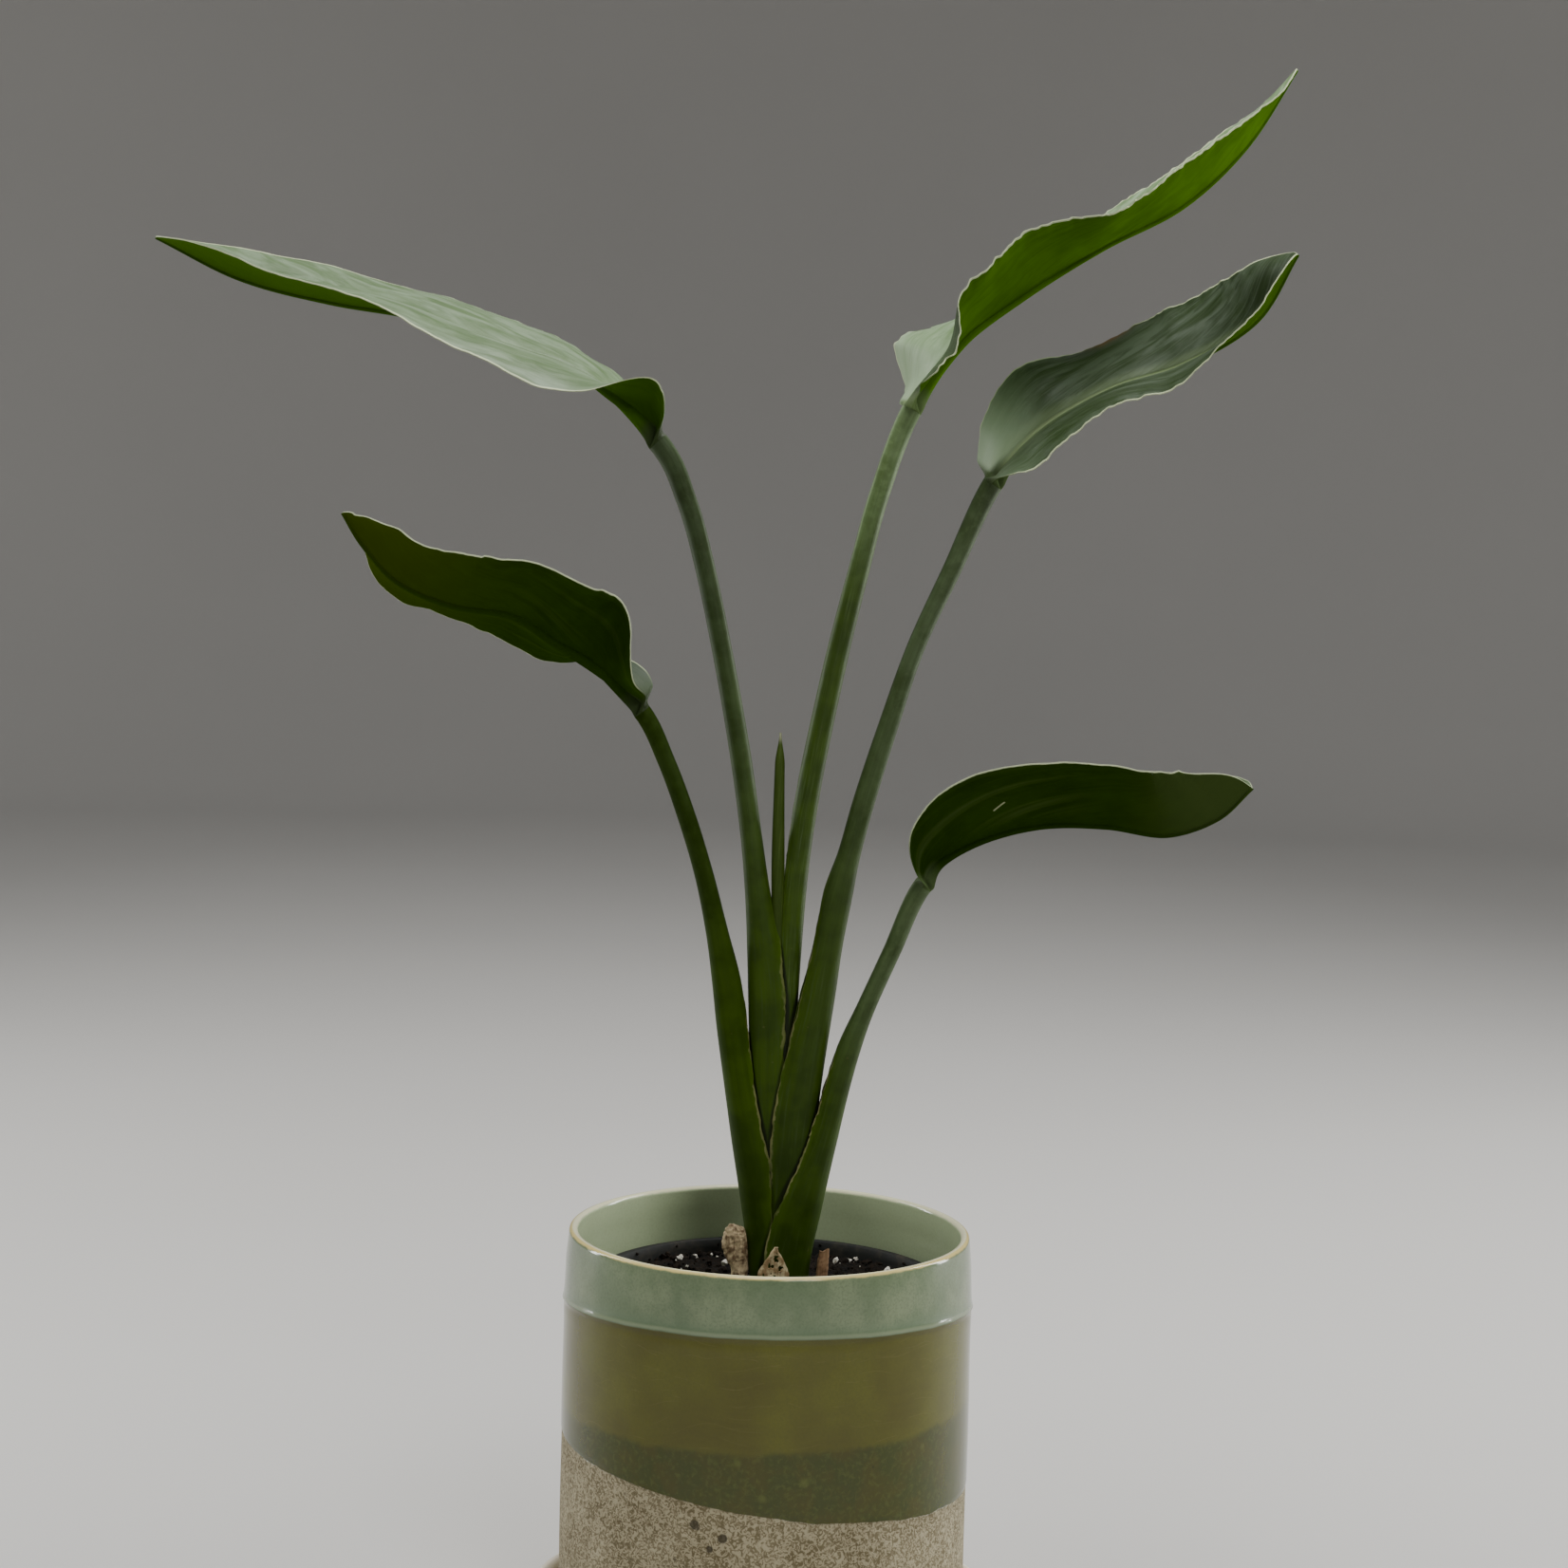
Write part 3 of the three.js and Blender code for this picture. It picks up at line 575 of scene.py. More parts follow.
def saucer_look():
    look = Look("saucer_stoneware_look")
    place = look.place()
    colour, worms, spot = stoneware(place, SAUCER_PALE, SAUCER_DARK)
    colour = place.noise(22, 2).spread(0.35, 0.65, 0.6, 0.2).mix(colour, SAUCER_CREAM)
    return look.finish(colour, (worms, 0.5, 0.75), worms - spot, 0.12)


def pot():
    wall, foot, drain, sides = 3.4, 5.3, 8, 288
    side = [[76.9, 100], [76.6, 133], [76, 149]]
    outer = [[drain, foot], [73.4, foot], [75.2, foot + 0.35], [76.4, foot + 1.3]]
    outer += [[76.9, foot + 3.2]] + side
    inner = [[r - wall, z] for r, z in reversed(side)]
    inner += [[73.6, 20], [73.2, 16.5], [71.8, 13.8], [69, 12.3], [drain, 12.3], [drain, foot]]
    rim = lip(75 - wall / 2, 160 - wall / 2, wall / 2)
    profile = spaced(outer, 0.9) + rim + spaced(inner, 2.4)
    points = turned(profile, sides)
    x, y, z = points[..., 0], points[..., 1], points[..., 2]
    across = np.hypot(x, y)
    outside = (across > 74.4) & (z > 8) & (z < 158)
    wander = 1.4 * ripple(np.arctan2(y, x) * 77, (97, 61, 40), 5)
    over_ridge = above(CELADON_EDGE, x, y, z)
    over_glaze = above(GLAZE_EDGE, x, y, z + wander)
    # The glaze is a skin on the clay, and the celadon rolls up where it stops.
    change = -0.3 * smooth(0.8, -0.4, over_glaze) - 0.1 * smooth(0.4, -0.6, over_ridge)
    rolled = 0.22 * np.exp(-over_ridge / 3.2) + 0.36 * np.exp(-over_ridge / 0.9)
    change += np.where(over_ridge > 0, rolled, 0.58 * np.exp(-((over_ridge / 0.7) ** 2)))
    change += 0.12 * np.exp(-(((over_ridge + 4.5) / 2.6) ** 2))
    change += 0.07 * rough(points.reshape(-1, 3), 60, 9).reshape(x.shape) - 0.2
    scale = np.where(outside, 1 + change / across, 1.0)
    points[..., :2] *= scale[..., None]
    piece = make("glazed_pot", *closed_grid(points), "pot_glaze", pot_look())
    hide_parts("ceramic_pot")


def saucer():
    outside = [[70.4, 0], [71.6, 0.35], [72.6, 0.9], [81, 3.5], [84.2, 5.8], [86, 9]]
    outside += [[87.5, 13.5]]
    inside = [[82.6, 13.5], [81.5, 9.5], [80.6, 7.3], [79.5, 6], [78, 5.2], [76, 5]]
    sides, step, middle = 256, 1.5, 0.01
    profile = [[middle, 0], [40, 0]] + spaced(outside, step) + lip(86, 17.7, 2.3)
    profile += spaced(inside, step) + [[60, 5], [30, 5], [middle, 5]]
    shape = closed_grid(turned(profile, sides))
    piece = make("stoneware_saucer", *shape, "saucer_stoneware", saucer_look())
    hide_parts("saucer")


# ---------------------------------------------------------------- nursery pot and soil


def plastic_look():
    look = Look("nursery_plastic_look", Specular_IOR_Level=0.2)
    place = look.place()
    dust = place.noise(7, 4, 0.65)
    speck = place.noise(1.1, 3)
    colour = dust.spread(0.45, 0.75).mix(srgb(34, 35, 33), srgb(58, 54, 46))
    colour = speck.spread(0.64, 0.76, 0.6).mix(colour, srgb(30, 24, 18))
    return look.finish(colour, (dust, 0.5, 0.75), speck, 0.06)


NURSERY_FOOT, NURSERY_RIM, NURSERY_WALL = 12.6, 140.5, 1.3
NURSERY_FLOOR = 14.2


def nursery_radius(z):
    """The inner radius of the nursery pot at a height."""
    return 50 + (65.5 - 50) * (z - NURSERY_FOOT) / (NURSERY_RIM - NURSERY_FOOT) - NURSERY_WALL


def nursery_pot():
    foot, rim, under, hole, sides = NURSERY_FOOT, NURSERY_RIM, 137, 5, 160
    outer = nursery_radius(foot) + NURSERY_WALL
    low, high = nursery_radius(under), nursery_radius(rim)
    profile = [
        [hole, foot], [outer - 1.2, foot], [outer, foot + 1.2], [low + NURSERY_WALL, under],
        [low + 2.6, under], [low + 3, under + 0.5], [high + 3, rim - 0.8], [high + 2.6, rim - 0.1],
        [high + 2, rim], [high + 0.6, rim], [high, rim - 0.5],
        [nursery_radius(NURSERY_FLOOR), NURSERY_FLOOR], [hole, NURSERY_FLOOR], [hole, foot],
    ]
    shape = closed_grid(turned(spaced(profile, 3), sides))
    piece = make("nursery_pot_shell", *shape, "nursery_plastic", plastic_look())
    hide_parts("nursery_pot")


def soil_look(name, light=1.0):
    look = Look(name, Specular_IOR_Level=0.15)
    place = look.place()
    clod = place.noise(3, 5, 0.65)
    grit = place.noise(0.7, 3)
    dark, brown, dust = srgb(11, 9, 7), srgb(34, 26, 18), srgb(76, 64, 50)
    colour = clod.spread(0.35, 0.7, light).mix(dark, brown)
    colour = grit.spread(0.66, 0.78, 0.5 * light).mix(colour, dust)
    return look.finish(colour, (clod, 0.75, 1), clod + grit, 0.7)


def soil_height(x, y):
    coarse = np.sin(0.31 * x + 1.2) * np.cos(0.27 * y - 0.4)
    fine = np.sin(0.62 * x - 0.55 * y) + np.cos(0.71 * y + 0.35 * x)
    return SOIL_TOP + SOIL_LUMP * (0.7 * coarse + 0.35 * fine)


def lumps(centres, sizes, seed, detail=1):
    """Many small irregular lumps as one set of points and faces."""
    ball = bmesh.new()
    bmesh.ops.create_icosphere(ball, subdivisions=detail, radius=1)
    base = np.array([v.co for v in ball.verts])
    triangles = np.array([[v.index for v in f.verts] for f in ball.faces])
    ball.free()
    rng = np.random.default_rng(seed)
    points, faces = [], []
    for i, (centre, size) in enumerate(zip(centres, sizes)):
        turn = np.linalg.qr(rng.normal(size=(3, 3)))[0]
        shape = base * (1 + 0.3 * rough(base, 1.3, seed + i, 6))[:, None]
        shape = shape * rng.uniform(0.75, 1.0, 3) @ turn
        points.append(shape * size + centre)
        faces += (triangles + i * len(base)).tolist()
    return np.vstack(points), faces


def soil():
    rings, sides, edge = 90, 240, nursery_radius(SOIL_TOP) - 0.3
    radius = edge * np.linspace(1, 0.002, rings)
    angle = TAU * np.arange(sides) / sides
    x, y = radius[:, None] * np.cos(angle), radius[:, None] * np.sin(angle)
    flat = np.stack([x, y, np.zeros_like(x)], -1).reshape(-1, 3)
    height = soil_height(x, y)
    bumps = 0.45 * rough(flat, 3.2, 21) + 0.3 * rough(flat, 1.6, 22)
    height = height + bumps.reshape(x.shape) - 0.3 - 1.2 * smooth(edge - 3, edge, radius)[:, None]
    top = np.stack([x, y, height], -1)
    bottom = turned([[nursery_radius(14.5) - 0.3, 14.5], [edge, 132]], sides)
    middle = turned([[0.02, 14.5]], sides)
    shape = closed_grid(np.concatenate([middle, bottom, top]))
    piece = make("potting_soil", *shape, "potting_soil", soil_look("soil_look"))
    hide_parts("soil")

    # Crumbs, thicker on the ground near the plant's foot and at the pot's edge.
    rng = np.random.default_rng(31)
    count = 1500
    r, a = edge * np.sqrt(rng.uniform(0, 1, count)) * 0.985, rng.uniform(0, TAU, count)
    size = 0.35 + 1.5 * rng.uniform(0, 1, count) ** 3.5
    cx, cy = r * np.cos(a), r * np.sin(a)
    centres = np.stack([cx, cy, np.minimum(soil_height(cx, cy) + 0.1 * size, 138.2)], -1)
    points, faces = lumps(centres, size, 41)
    make("soil_crumbs", points, faces, "potting_soil", soil_look("soil_crumb_look", 1.6))

    # Specks of soil that stick to the nursery pot's inner wall.
    wall = [[-58, 26], [-51, 38], [-36, 52], [-20, 60], [52, 36], [60, 15], [20, 60], [-62, 5]]
    wall = unit(np.array(wall, float)) * (nursery_radius(138.5) - 0.2)
    centres = np.column_stack([wall, rng.uniform(137.2, 139.6, len(wall))])
    points, faces = lumps(centres, rng.uniform(0.4, 0.9, len(wall)), 43)
    make("wall_specks", points, faces, "potting_soil", soil_look("soil_speck_look"))


def perlite_look():
    look = Look("perlite_look")
    place = look.place()
    pores = place.noise(0.7, 3)
    dirt = place.noise(1.8, 3)
    colour = dirt.spread(0.5, 0.75).mix(srgb(222, 218, 206), srgb(150, 138, 118))
    colour = pores.spread(0.58, 0.7, 0.6).mix(colour, srgb(120, 112, 98))
    return look.finish(colour, (pores, 0.8, 1), pores, 0.25)


def perlite():
    material = perlite_look()
    for i, (x, y, radius) in enumerate(PERLITE):
        centre = [x, y, soil_height(x, y) + 0.3 * radius]
        points, faces = lumps([centre], [radius * 0.95], 60 + i, detail=3)
        piece = make(f"perlite_grain_{i + 1}", points, faces, "perlite", material)
        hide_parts(f"perlite_{i + 1}")
    rng = np.random.default_rng(77)
    count = 70
    r, a = 62 * np.sqrt(rng.uniform(0.06, 1, count)), rng.uniform(0, TAU, count)
    x, y = r * np.cos(a), r * np.sin(a)
    size = rng.uniform(0.25, 0.75, count)
    centres = np.stack([x, y, soil_height(x, y) + 0.3 * size], -1)
    points, faces = lumps(centres, size, 79)
    make("perlite_crumbs", points, faces, "perlite", material)


# ---------------------------------------------------------------- stems

SHEATH, SHEATH_PALE = srgb(44, 64, 4), srgb(57, 80, 9)
PETIOLE, PETIOLE_PALE = srgb(62, 78, 42), srgb(80, 97, 64)
PETIOLE_MIDDLE = srgb(72, 88, 53)
# The heights between which each sheath is open beside the younger stalks.
OPEN_SHEATH = {
    "low_right": (238, 206), "left": (254, 208), "right": (300, 246),
    "top_left": (302, 236), "top_right": (340, 280),
}
# How light the sheath and the stalk above it are, which stalk by stalk also stands in for how
# much light falls on each, as painted light and shade, the parts of the length between which
# one turns into the other, the stalk's gloss, how pale the sheath's dry margin is, and how far
# the stalk takes the sheath's olive green.
STALK_TONE = {
    "low_right": (0.88, 0.88, 0.42, 0.9, 0.3, 0.8, 0.15),
    "left": (0.86, 0.5, 0.38, 0.9, 0.0, 0.5, 0.7),
    "right": (0.8, 0.85, 0.4, 0.9, 0.4, 0.6, 0.0),
    "top_left": (0.92, 0.55, 0.38, 0.9, 0.3, 0.35, 0.1),
    "top_right": (0.92, 1.85, 0.75, 0.99, 0.5, 0.3, 0.0),
}


def stem_look(name, tone):
    """Green stalk skin. `skin` is how far round, how far along and what part of the length,
    and `rim` is how far a point is from the sheath's free margin and from older sheaths, in
    millimetres, and how much of the sheath's inside it shows."""
    look = Look(name, IOR=1.38)
    sheath, petiole, start, end, shine, dry, olive = tone
    skin, pale = blend(PETIOLE, SHEATH, olive), blend(PETIOLE_PALE, SHEATH_PALE, olive)
    mark = look.mark("skin")
    part = mark.split()[2]
    look.gloss(part, 0.18, shine)
    rim, shade_from_older, inner = look.mark("rim").split()
    place = look.place()
    streaks = mark.stretch(1, 0.03, 0).noise(0.7, 3)
    bands = mark.stretch(1, 0.02, 0).noise(2.6, 2)
    cloud = place.noise(14, 3)
    low = cloud.spread(0.35, 0.65).mix(shade(SHEATH, sheath), shade(SHEATH_PALE, sheath))
    high = cloud.spread(0.35, 0.65).mix(shade(skin, petiole), shade(pale, petiole))
    bloom = place.noise(3.2, 4, 0.6)
    high = bloom.spread(0.42, 0.66, 0.4).mix(high, shade(pale, 1.35 * petiole))
    colour = part.spread(start, end).mix(low, high)
    colour = bands.spread(0.35, 0.7, 0.35).mix(colour, shade(SHEATH, 0.7 * sheath))
    colour = streaks.spread(0.5, 0.75, 0.25).mix(colour, shade(pale, petiole))
    scuffs = place.noise(2.2, 3)
    colour = scuffs.spread(0.7, 0.78, 0.5).mix(colour, srgb(88, 84, 46))
    # A painted shadow where an older sheath lies over it, painted shade in the open sheath's
    # inside, and a thin dry margin, pale and torn.
    ragged = scuffs * 0.9 + place.noise(6, 2)
    colour = inner.spread(0.1, 0.7, 0.75).mix(colour, shade(SHEATH, 0.3))
    colour = shade_from_older.spread(1.1, 0.25, 0.85).mix(colour, srgb(16, 17, 5))
    colour = rim.spread(3, 0.6, 0.3).mix(colour, shade(SHEATH_PALE, 1.35))
    edge = (ragged * 1.3 + rim).spread(2.2, 1.8)
    worn = place.noise(13, 2).spread(0.4, 0.58, dry, 0.12 * dry)
    colour = (edge * worn).mix(colour, srgb(140, 136, 92))
    return look.finish(colour, (streaks, 0.42, 0.58), streaks + bands, 0.08)


def stem_path(leaf):
    rows = leaf["stem"] + leaf["midrib"]
    return rows, (len(leaf["stem"]) - 1) / (len(rows) - 1)


def oval_distance(points, leaf, grow):
    """How far points are outside a leaf's stalk, roughly, and less than 0 inside it."""
    path, span = stem_path(leaf)
    t = np.linspace(0, 1, 260)
    centre, ahead, front, out = frames(path, t * span)
    size = girth(leaf["stem"], t) + grow
    nearest = np.abs(np.einsum("nmk,mk->nm", points[:, None, :] - centre[None], ahead)).argmin(1)
    inside_ends = (nearest > 0) & (nearest < len(t) - 1)
    away = points - centre[nearest]
    a = np.einsum("nk,nk->n", away, out[nearest])
    b = np.einsum("nk,nk->n", away, front[nearest])
    width, depth = size[nearest, 0], size[nearest, 1]
    share = np.hypot(a / width, b / depth)
    radius = np.hypot(a, b) / np.maximum(share, 1e-6)
    return np.where(inside_ends, (share - 1) * radius, FAR)


def stem(name, older, younger, material):
    leaf = LEAVES[name]
    path, span = stem_path(leaf)
    sides, count = 96, 16 * (len(leaf["stem"]) - 1) + 1
    part = np.linspace(0, 1, count)
    centre, _, front, out = frames(path, part * span)
    size = girth(leaf["stem"], part)
    angle = TAU * np.arange(sides) / sides
    upper = np.maximum(0, -leaf["side"] * np.sin(angle))
    channel = GROOVE * smooth(GROOVE_START, 1, part)[:, None] * upper**6
    reach = size[:, :1] * (1 - channel) * np.sin(angle)
    depth = size[:, 1:2] * np.cos(angle)
    points = ovals(centre, front, out, depth, reach)
    outward = unit(points - centre[:, None])
    flat = points.reshape(-1, 3)

    def nearest(names, grow):
        far = [np.full(len(flat), FAR)]
        return np.minimum.reduce(far + [oval_distance(flat, LEAVES[n], grow) for n in names])

    # Distances from the younger stalks, for the margin, and from the older ones, for the painted
    # shadow where they lie over this one.
    rim, shade_from_older = nearest(younger, SHEATH_GAP), nearest(older, 0.0)
    # The sheath's margin lies on the younger stalks as a thin raised edge, a little torn.
    rim = rim + 0.25 * rough(flat, 7, 51) + 0.12 * rough(flat, 2.5, 52)
    raise_by = 0.3 * smooth(1.6, 0.3, rim) - 1.3 * smooth(0.25, -0.35, rim)
    raise_by = np.where(rim < 0.8 * FAR, raise_by, 0.0)
    # Over a stretch above that it is open, and its margin runs up to the stalk's channel.
    top, foot = OPEN_SHEATH[name]
    height = flat[:, 2]
    opened = smooth(top, foot, height) * (height < top)
    off_axis = np.abs((angle + leaf["side"] * math.pi / 2 + math.pi) % TAU - math.pi)
    off_axis, radius = [np.broadcast_to(v, reach.shape).ravel() for v in (off_axis, size[:, :1])]
    beside = (off_axis - np.radians(8 + 26 * opened)) * radius
    beside = beside + 0.3 * rough(flat, 6, 53) + 0.12 * rough(flat, 2, 54)
    edge = 0.2 * np.exp(-((beside - 0.5) / 0.5) ** 2)
    raise_by += opened * (edge - 0.9 * smooth(0.2, -0.8, beside))
    shown = (opened > 0.02) & (beside > -0.4)
    # How much of the sheath's inside shows, which is painted darker as shade.
    inner = np.where(beside < 0, opened, 0.0)
    rim = np.where(shown, np.minimum(rim, np.abs(beside) + 0.6 * (1 - opened)), rim)
    flat = flat + outward.reshape(-1, 3) * raise_by[:, None]
    skin = skin_mark(count, sides, angle * 5, along_curve(centre), part)
    marks = {"skin": skin, "rim": np.stack([rim, shade_from_older, inner], -1)}
    faces = tube_faces(count, sides)
    piece = make(f"stalk_{name}", flat, faces, "leaf_stem", material, marks)
    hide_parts(f"stem_{name}")


# ---------------------------------------------------------------- blades

# How light a leaf is under, on top and on top at its base, which leaf by leaf also stands in
# for how much light falls on it, as painted light and shade; how pale its midrib is on top and
# below, how dark the painted shadow is inside the front half's fold, at its base, how marked
# its streaks are on top, partly a painted sheen, and how much wider its pale margin is, partly
# a painted rim highlight.
LEAF_TONE = {
    "low_right": (0.45, 0.9, 1.0, 0.5, 0.85, 0.0, 0.3, -0.05),
    "left": (0.5, 0.85, 0.22, 0.5, 0.8, 0.0, 0.3, 0.0),
    "right": (1.0, 0.46, 2.05, 0.8, 1.1, 0.12, 0.6, 0.1),
    "top_left": (1.05, 1.26, 1.45, 0.15, 1.15, 0.0, 0.3, 0.1),
    "top_right": (1.72, 1.75, 2.1, 0.25, 1.2, 0.9, 0.3, 0.35),
}
# How far a leaf's margin waves and how far it crinkles.
LEAF_WAVE = {
    "low_right": (0.2, 0.05), "left": (0.2, 0.08), "right": (0.5, 0.3),
    "top_left": (0.2, 0.08), "top_right": (0.45, 0.6),
}
UNDER, UNDER_PALE = srgb(43, 70, 4), srgb(52, 82, 8)
UPPER, UPPER_PALE, UPPER_RIB = srgb(62, 85, 40), srgb(112, 128, 103), srgb(136, 154, 110)
SHEEN = srgb(54, 70, 32)
# Where the lighter end of a leaf's under face starts and is full, in millimetres from its
# base, its colour, and how strong the paler streaks near the leaf's base are, a painted sheen.
UNDER_LIGHT = {
    "low_right": (70, 120, srgb(57, 71, 34), 0.75), "left": (45, 140, srgb(60, 74, 14), 0.35),
    "top_left": (60, 125, srgb(60, 90, 22), 0.0),
}


def leaf_look(name, tone, petiole_tone, lighter, scratch):
    """Leaf skin. `leaf_map` is along, across and distance from the margin, in millimetres,
    and `leaf_mark` is 1 on the upper face, distance in midrib radii, and scar."""
    look = Look(name, IOR=1.38)
    under_tone, upper_tone, base_tone, rib_top, rib_under, fold_shadow, marked, wider = tone
    along, across, margin = look.mark("leaf_map").split()
    face, rib, scar = look.mark("leaf_mark").split()
    place = look.place()
    away = abs(across)
    # The veins leave the midrib at a sharp angle and bend towards the tip.
    over = along * -0.3 + away * away * 0.004 + away
    onward = away * 0.3 + along
    vein_place = look.vector(over, onward * 0.03, across * 0.02)
    patch_place = look.vector(over, onward * 0.28, across * 0.1)
    veins = vein_place.noise(0.9, 2, 0.5)
    broad = patch_place.noise(4.5, 3, 0.5, 0.8)
    bloom = patch_place.noise(10, 4, 0.55, 1)
    cloud = place.noise(24, 3)

    dark, pale = shade(UPPER, upper_tone), shade(UPPER_PALE, upper_tone)
    # On top, paler patches and streaks: partly the leaf's waxy bloom and partly a painted sheen.
    upper = bloom.spread(0.32, 0.64, 1, 0.5 - 0.9 * marked).mix(dark, pale)
    upper = broad.spread(0.46, 0.66, marked).mix(upper, shade(dark, 0.7))
    upper = veins.spread(0.48, 0.7, 0.6 * marked).mix(upper, shade(pale, 1.2))
    near_base = along.spread(38, 8, 0.7)
    # Where a leaf has a painted shadow in its fold, the paler base stays off the front half.
    if fold_shadow:
        near_base = near_base * across.spread(4, -4, 1, 0.15)
    upper = near_base.mix(upper, shade(UPPER_PALE, base_tone))
    # Painted shadow inside the front half's fold, near its base.
    if fold_shadow:
        inside = across.spread(0, 4) * along.spread(74, 44, fold_shadow)
        upper = inside.mix(upper, shade(UNDER, 0.7))
    deep, light = shade(UNDER, under_tone), shade(UNDER_PALE, under_tone)
    under = cloud.spread(0.35, 0.65).mix(deep, light)
    under = broad.spread(0.42, 0.7, 0.35).mix(under, shade(deep, 0.72))
    under = veins.spread(0.45, 0.75, 0.2).mix(under, shade(light, 1.25))
    if lighter:
        start, end, tip_colour, sheen = lighter
        under = along.spread(start, end, 0.8).mix(under, tip_colour)
        # Paler streaks near the base of the under face: a painted sheen.
        streaks = vein_place.noise(5.5, 3, 0.55).spread(0.46, 0.66)
        near = along.spread(84, 40) * away.spread(2, 9, sheen)
        under = (streaks * near).mix(under, SHEEN)
    colour = face.mix(under, upper)
    beside_rib = rib.spread(5, 1, 0.3 * rib_top) * face
    colour = beside_rib.mix(colour, UPPER_RIB)
    band = (face * 0.15 + rib).spread(1.1, 0.5)
    pale_rib = band * along.spread(190, 70, 0.95, 0.35)
    pale_rib = pale_rib * (face * (rib_top - 0.8) + 0.8)
    colour = pale_rib.mix(colour, face.mix(shade(light, rib_under), UPPER_RIB))
    base = along.spread(13, 3) * rib.spread(1.9, 1)
    base = base.larger(along.spread(5, 2))
    colour = base.mix(colour, shade(PETIOLE_MIDDLE, petiole_tone))
    if scratch:
        # A short pale scratch from one place to another, each along and across the blade.
        (at, over_rib), (to, over_to) = scratch
        long = math.dist(*scratch)
        ahead, aside = (to - at) / long, (over_to - over_rib) / long
        u = (along - at) * ahead + (across - over_rib) * aside
        v = (across - over_rib) * ahead - (along - at) * aside
        ends = u.spread(0, 0.7) * u.spread(long, long - 0.7, 0.8)
        colour = (abs(v).spread(0.4, 0.15) * ends).mix(colour, srgb(158, 164, 128))
    # A thin pale margin, wider on the upper face: partly the leaf's own edge and partly a painted
    # rim highlight.
    margin = face * -0.3 + (margin - wider)
    edge = (place.noise(3, 3) * 0.5 + margin).spread(0.85, 0.5)
    edge = edge * along.spread(3, 14, 0.85)
    colour = edge.mix(colour, srgb(196, 206, 166))
    colour = scar.mix(colour, srgb(126, 90, 52))
    look.gloss(face, 0, 0.4)
    return look.finish(colour, (1.0 - face * bloom, 0.34, 0.54), broad * 1.6 + veins, 0.14)


def rib_radius(s):
    return 0.5 + 1.3 * (1 - s) + 2.4 * np.exp(-s / 0.07)


def half_width(leaf, s):
    along = s ** leaf["shift"]
    swell = (2 * along) ** leaf["blunt"][0] * (2 - 2 * along) ** leaf["blunt"][1]
    return np.maximum(leaf["half_width"] * swell, rib_radius(s) + 0.4)


# Small damage at the margins: which half (1 is the front), where along it from 0 to 1,
# how long and how deep in millimetres, and how brown.
DAMAGE = {
    "right": [(-1, 0.408, 4, 2.6, 0.0), (-1, 0.43, 6, 0.8, 1.0)],
    "top_left": [(-1, 0.36, 1.6, 1.3, 0.3), (1, 0.055, 2, 1.2, 0.0), (1, 0.02, 2, 1.0, 0.0)],
    "top_right": [
        (1, 0.112, 5, -1.6, 0.0), (1, 0.088, 3, 1.2, 0.0), (1, 0.062, 5, -2.2, 0.0),
        (1, 0.04, 3, 1.2, 0.0), (1, 0.017, 4, -2.0, 0.0),
        (1, 0.492, 2.2, 1.8, 0.0), (1, 0.512, 1.8, 1.2, 0.0), (1, 0.528, 2.0, 2.0, 0.0),
        (1, 0.545, 1.8, 1.4, 0.0), (1, 0.565, 2.2, 1.9, 0.0), (1, 0.59, 2.2, 1.2, 0.0),
    ],
    "left": [(1, 0.975, 3.2, 3.4, 0.0)],
    "low_right": [(-1, 0.985, 2, 1.0, 0.0)],
}
# A scratch, from one point to another: how far along and how far over the midrib.
SCRATCHES = {"low_right": ((36.3, 10.9), (41.6, 13.9))}
# Where the points across half a blade are: shares of its midrib, then of the rest of it.
INNER = [0, 0.3, 0.6, 0.85, 1]
OUTER = [
    0.05, 0.11, 0.18, 0.26, 0.35, 0.44, 0.53, 0.62, 0.7, 0.78, 0.85, 0.9, 0.94, 0.97, 0.99, 1,
]


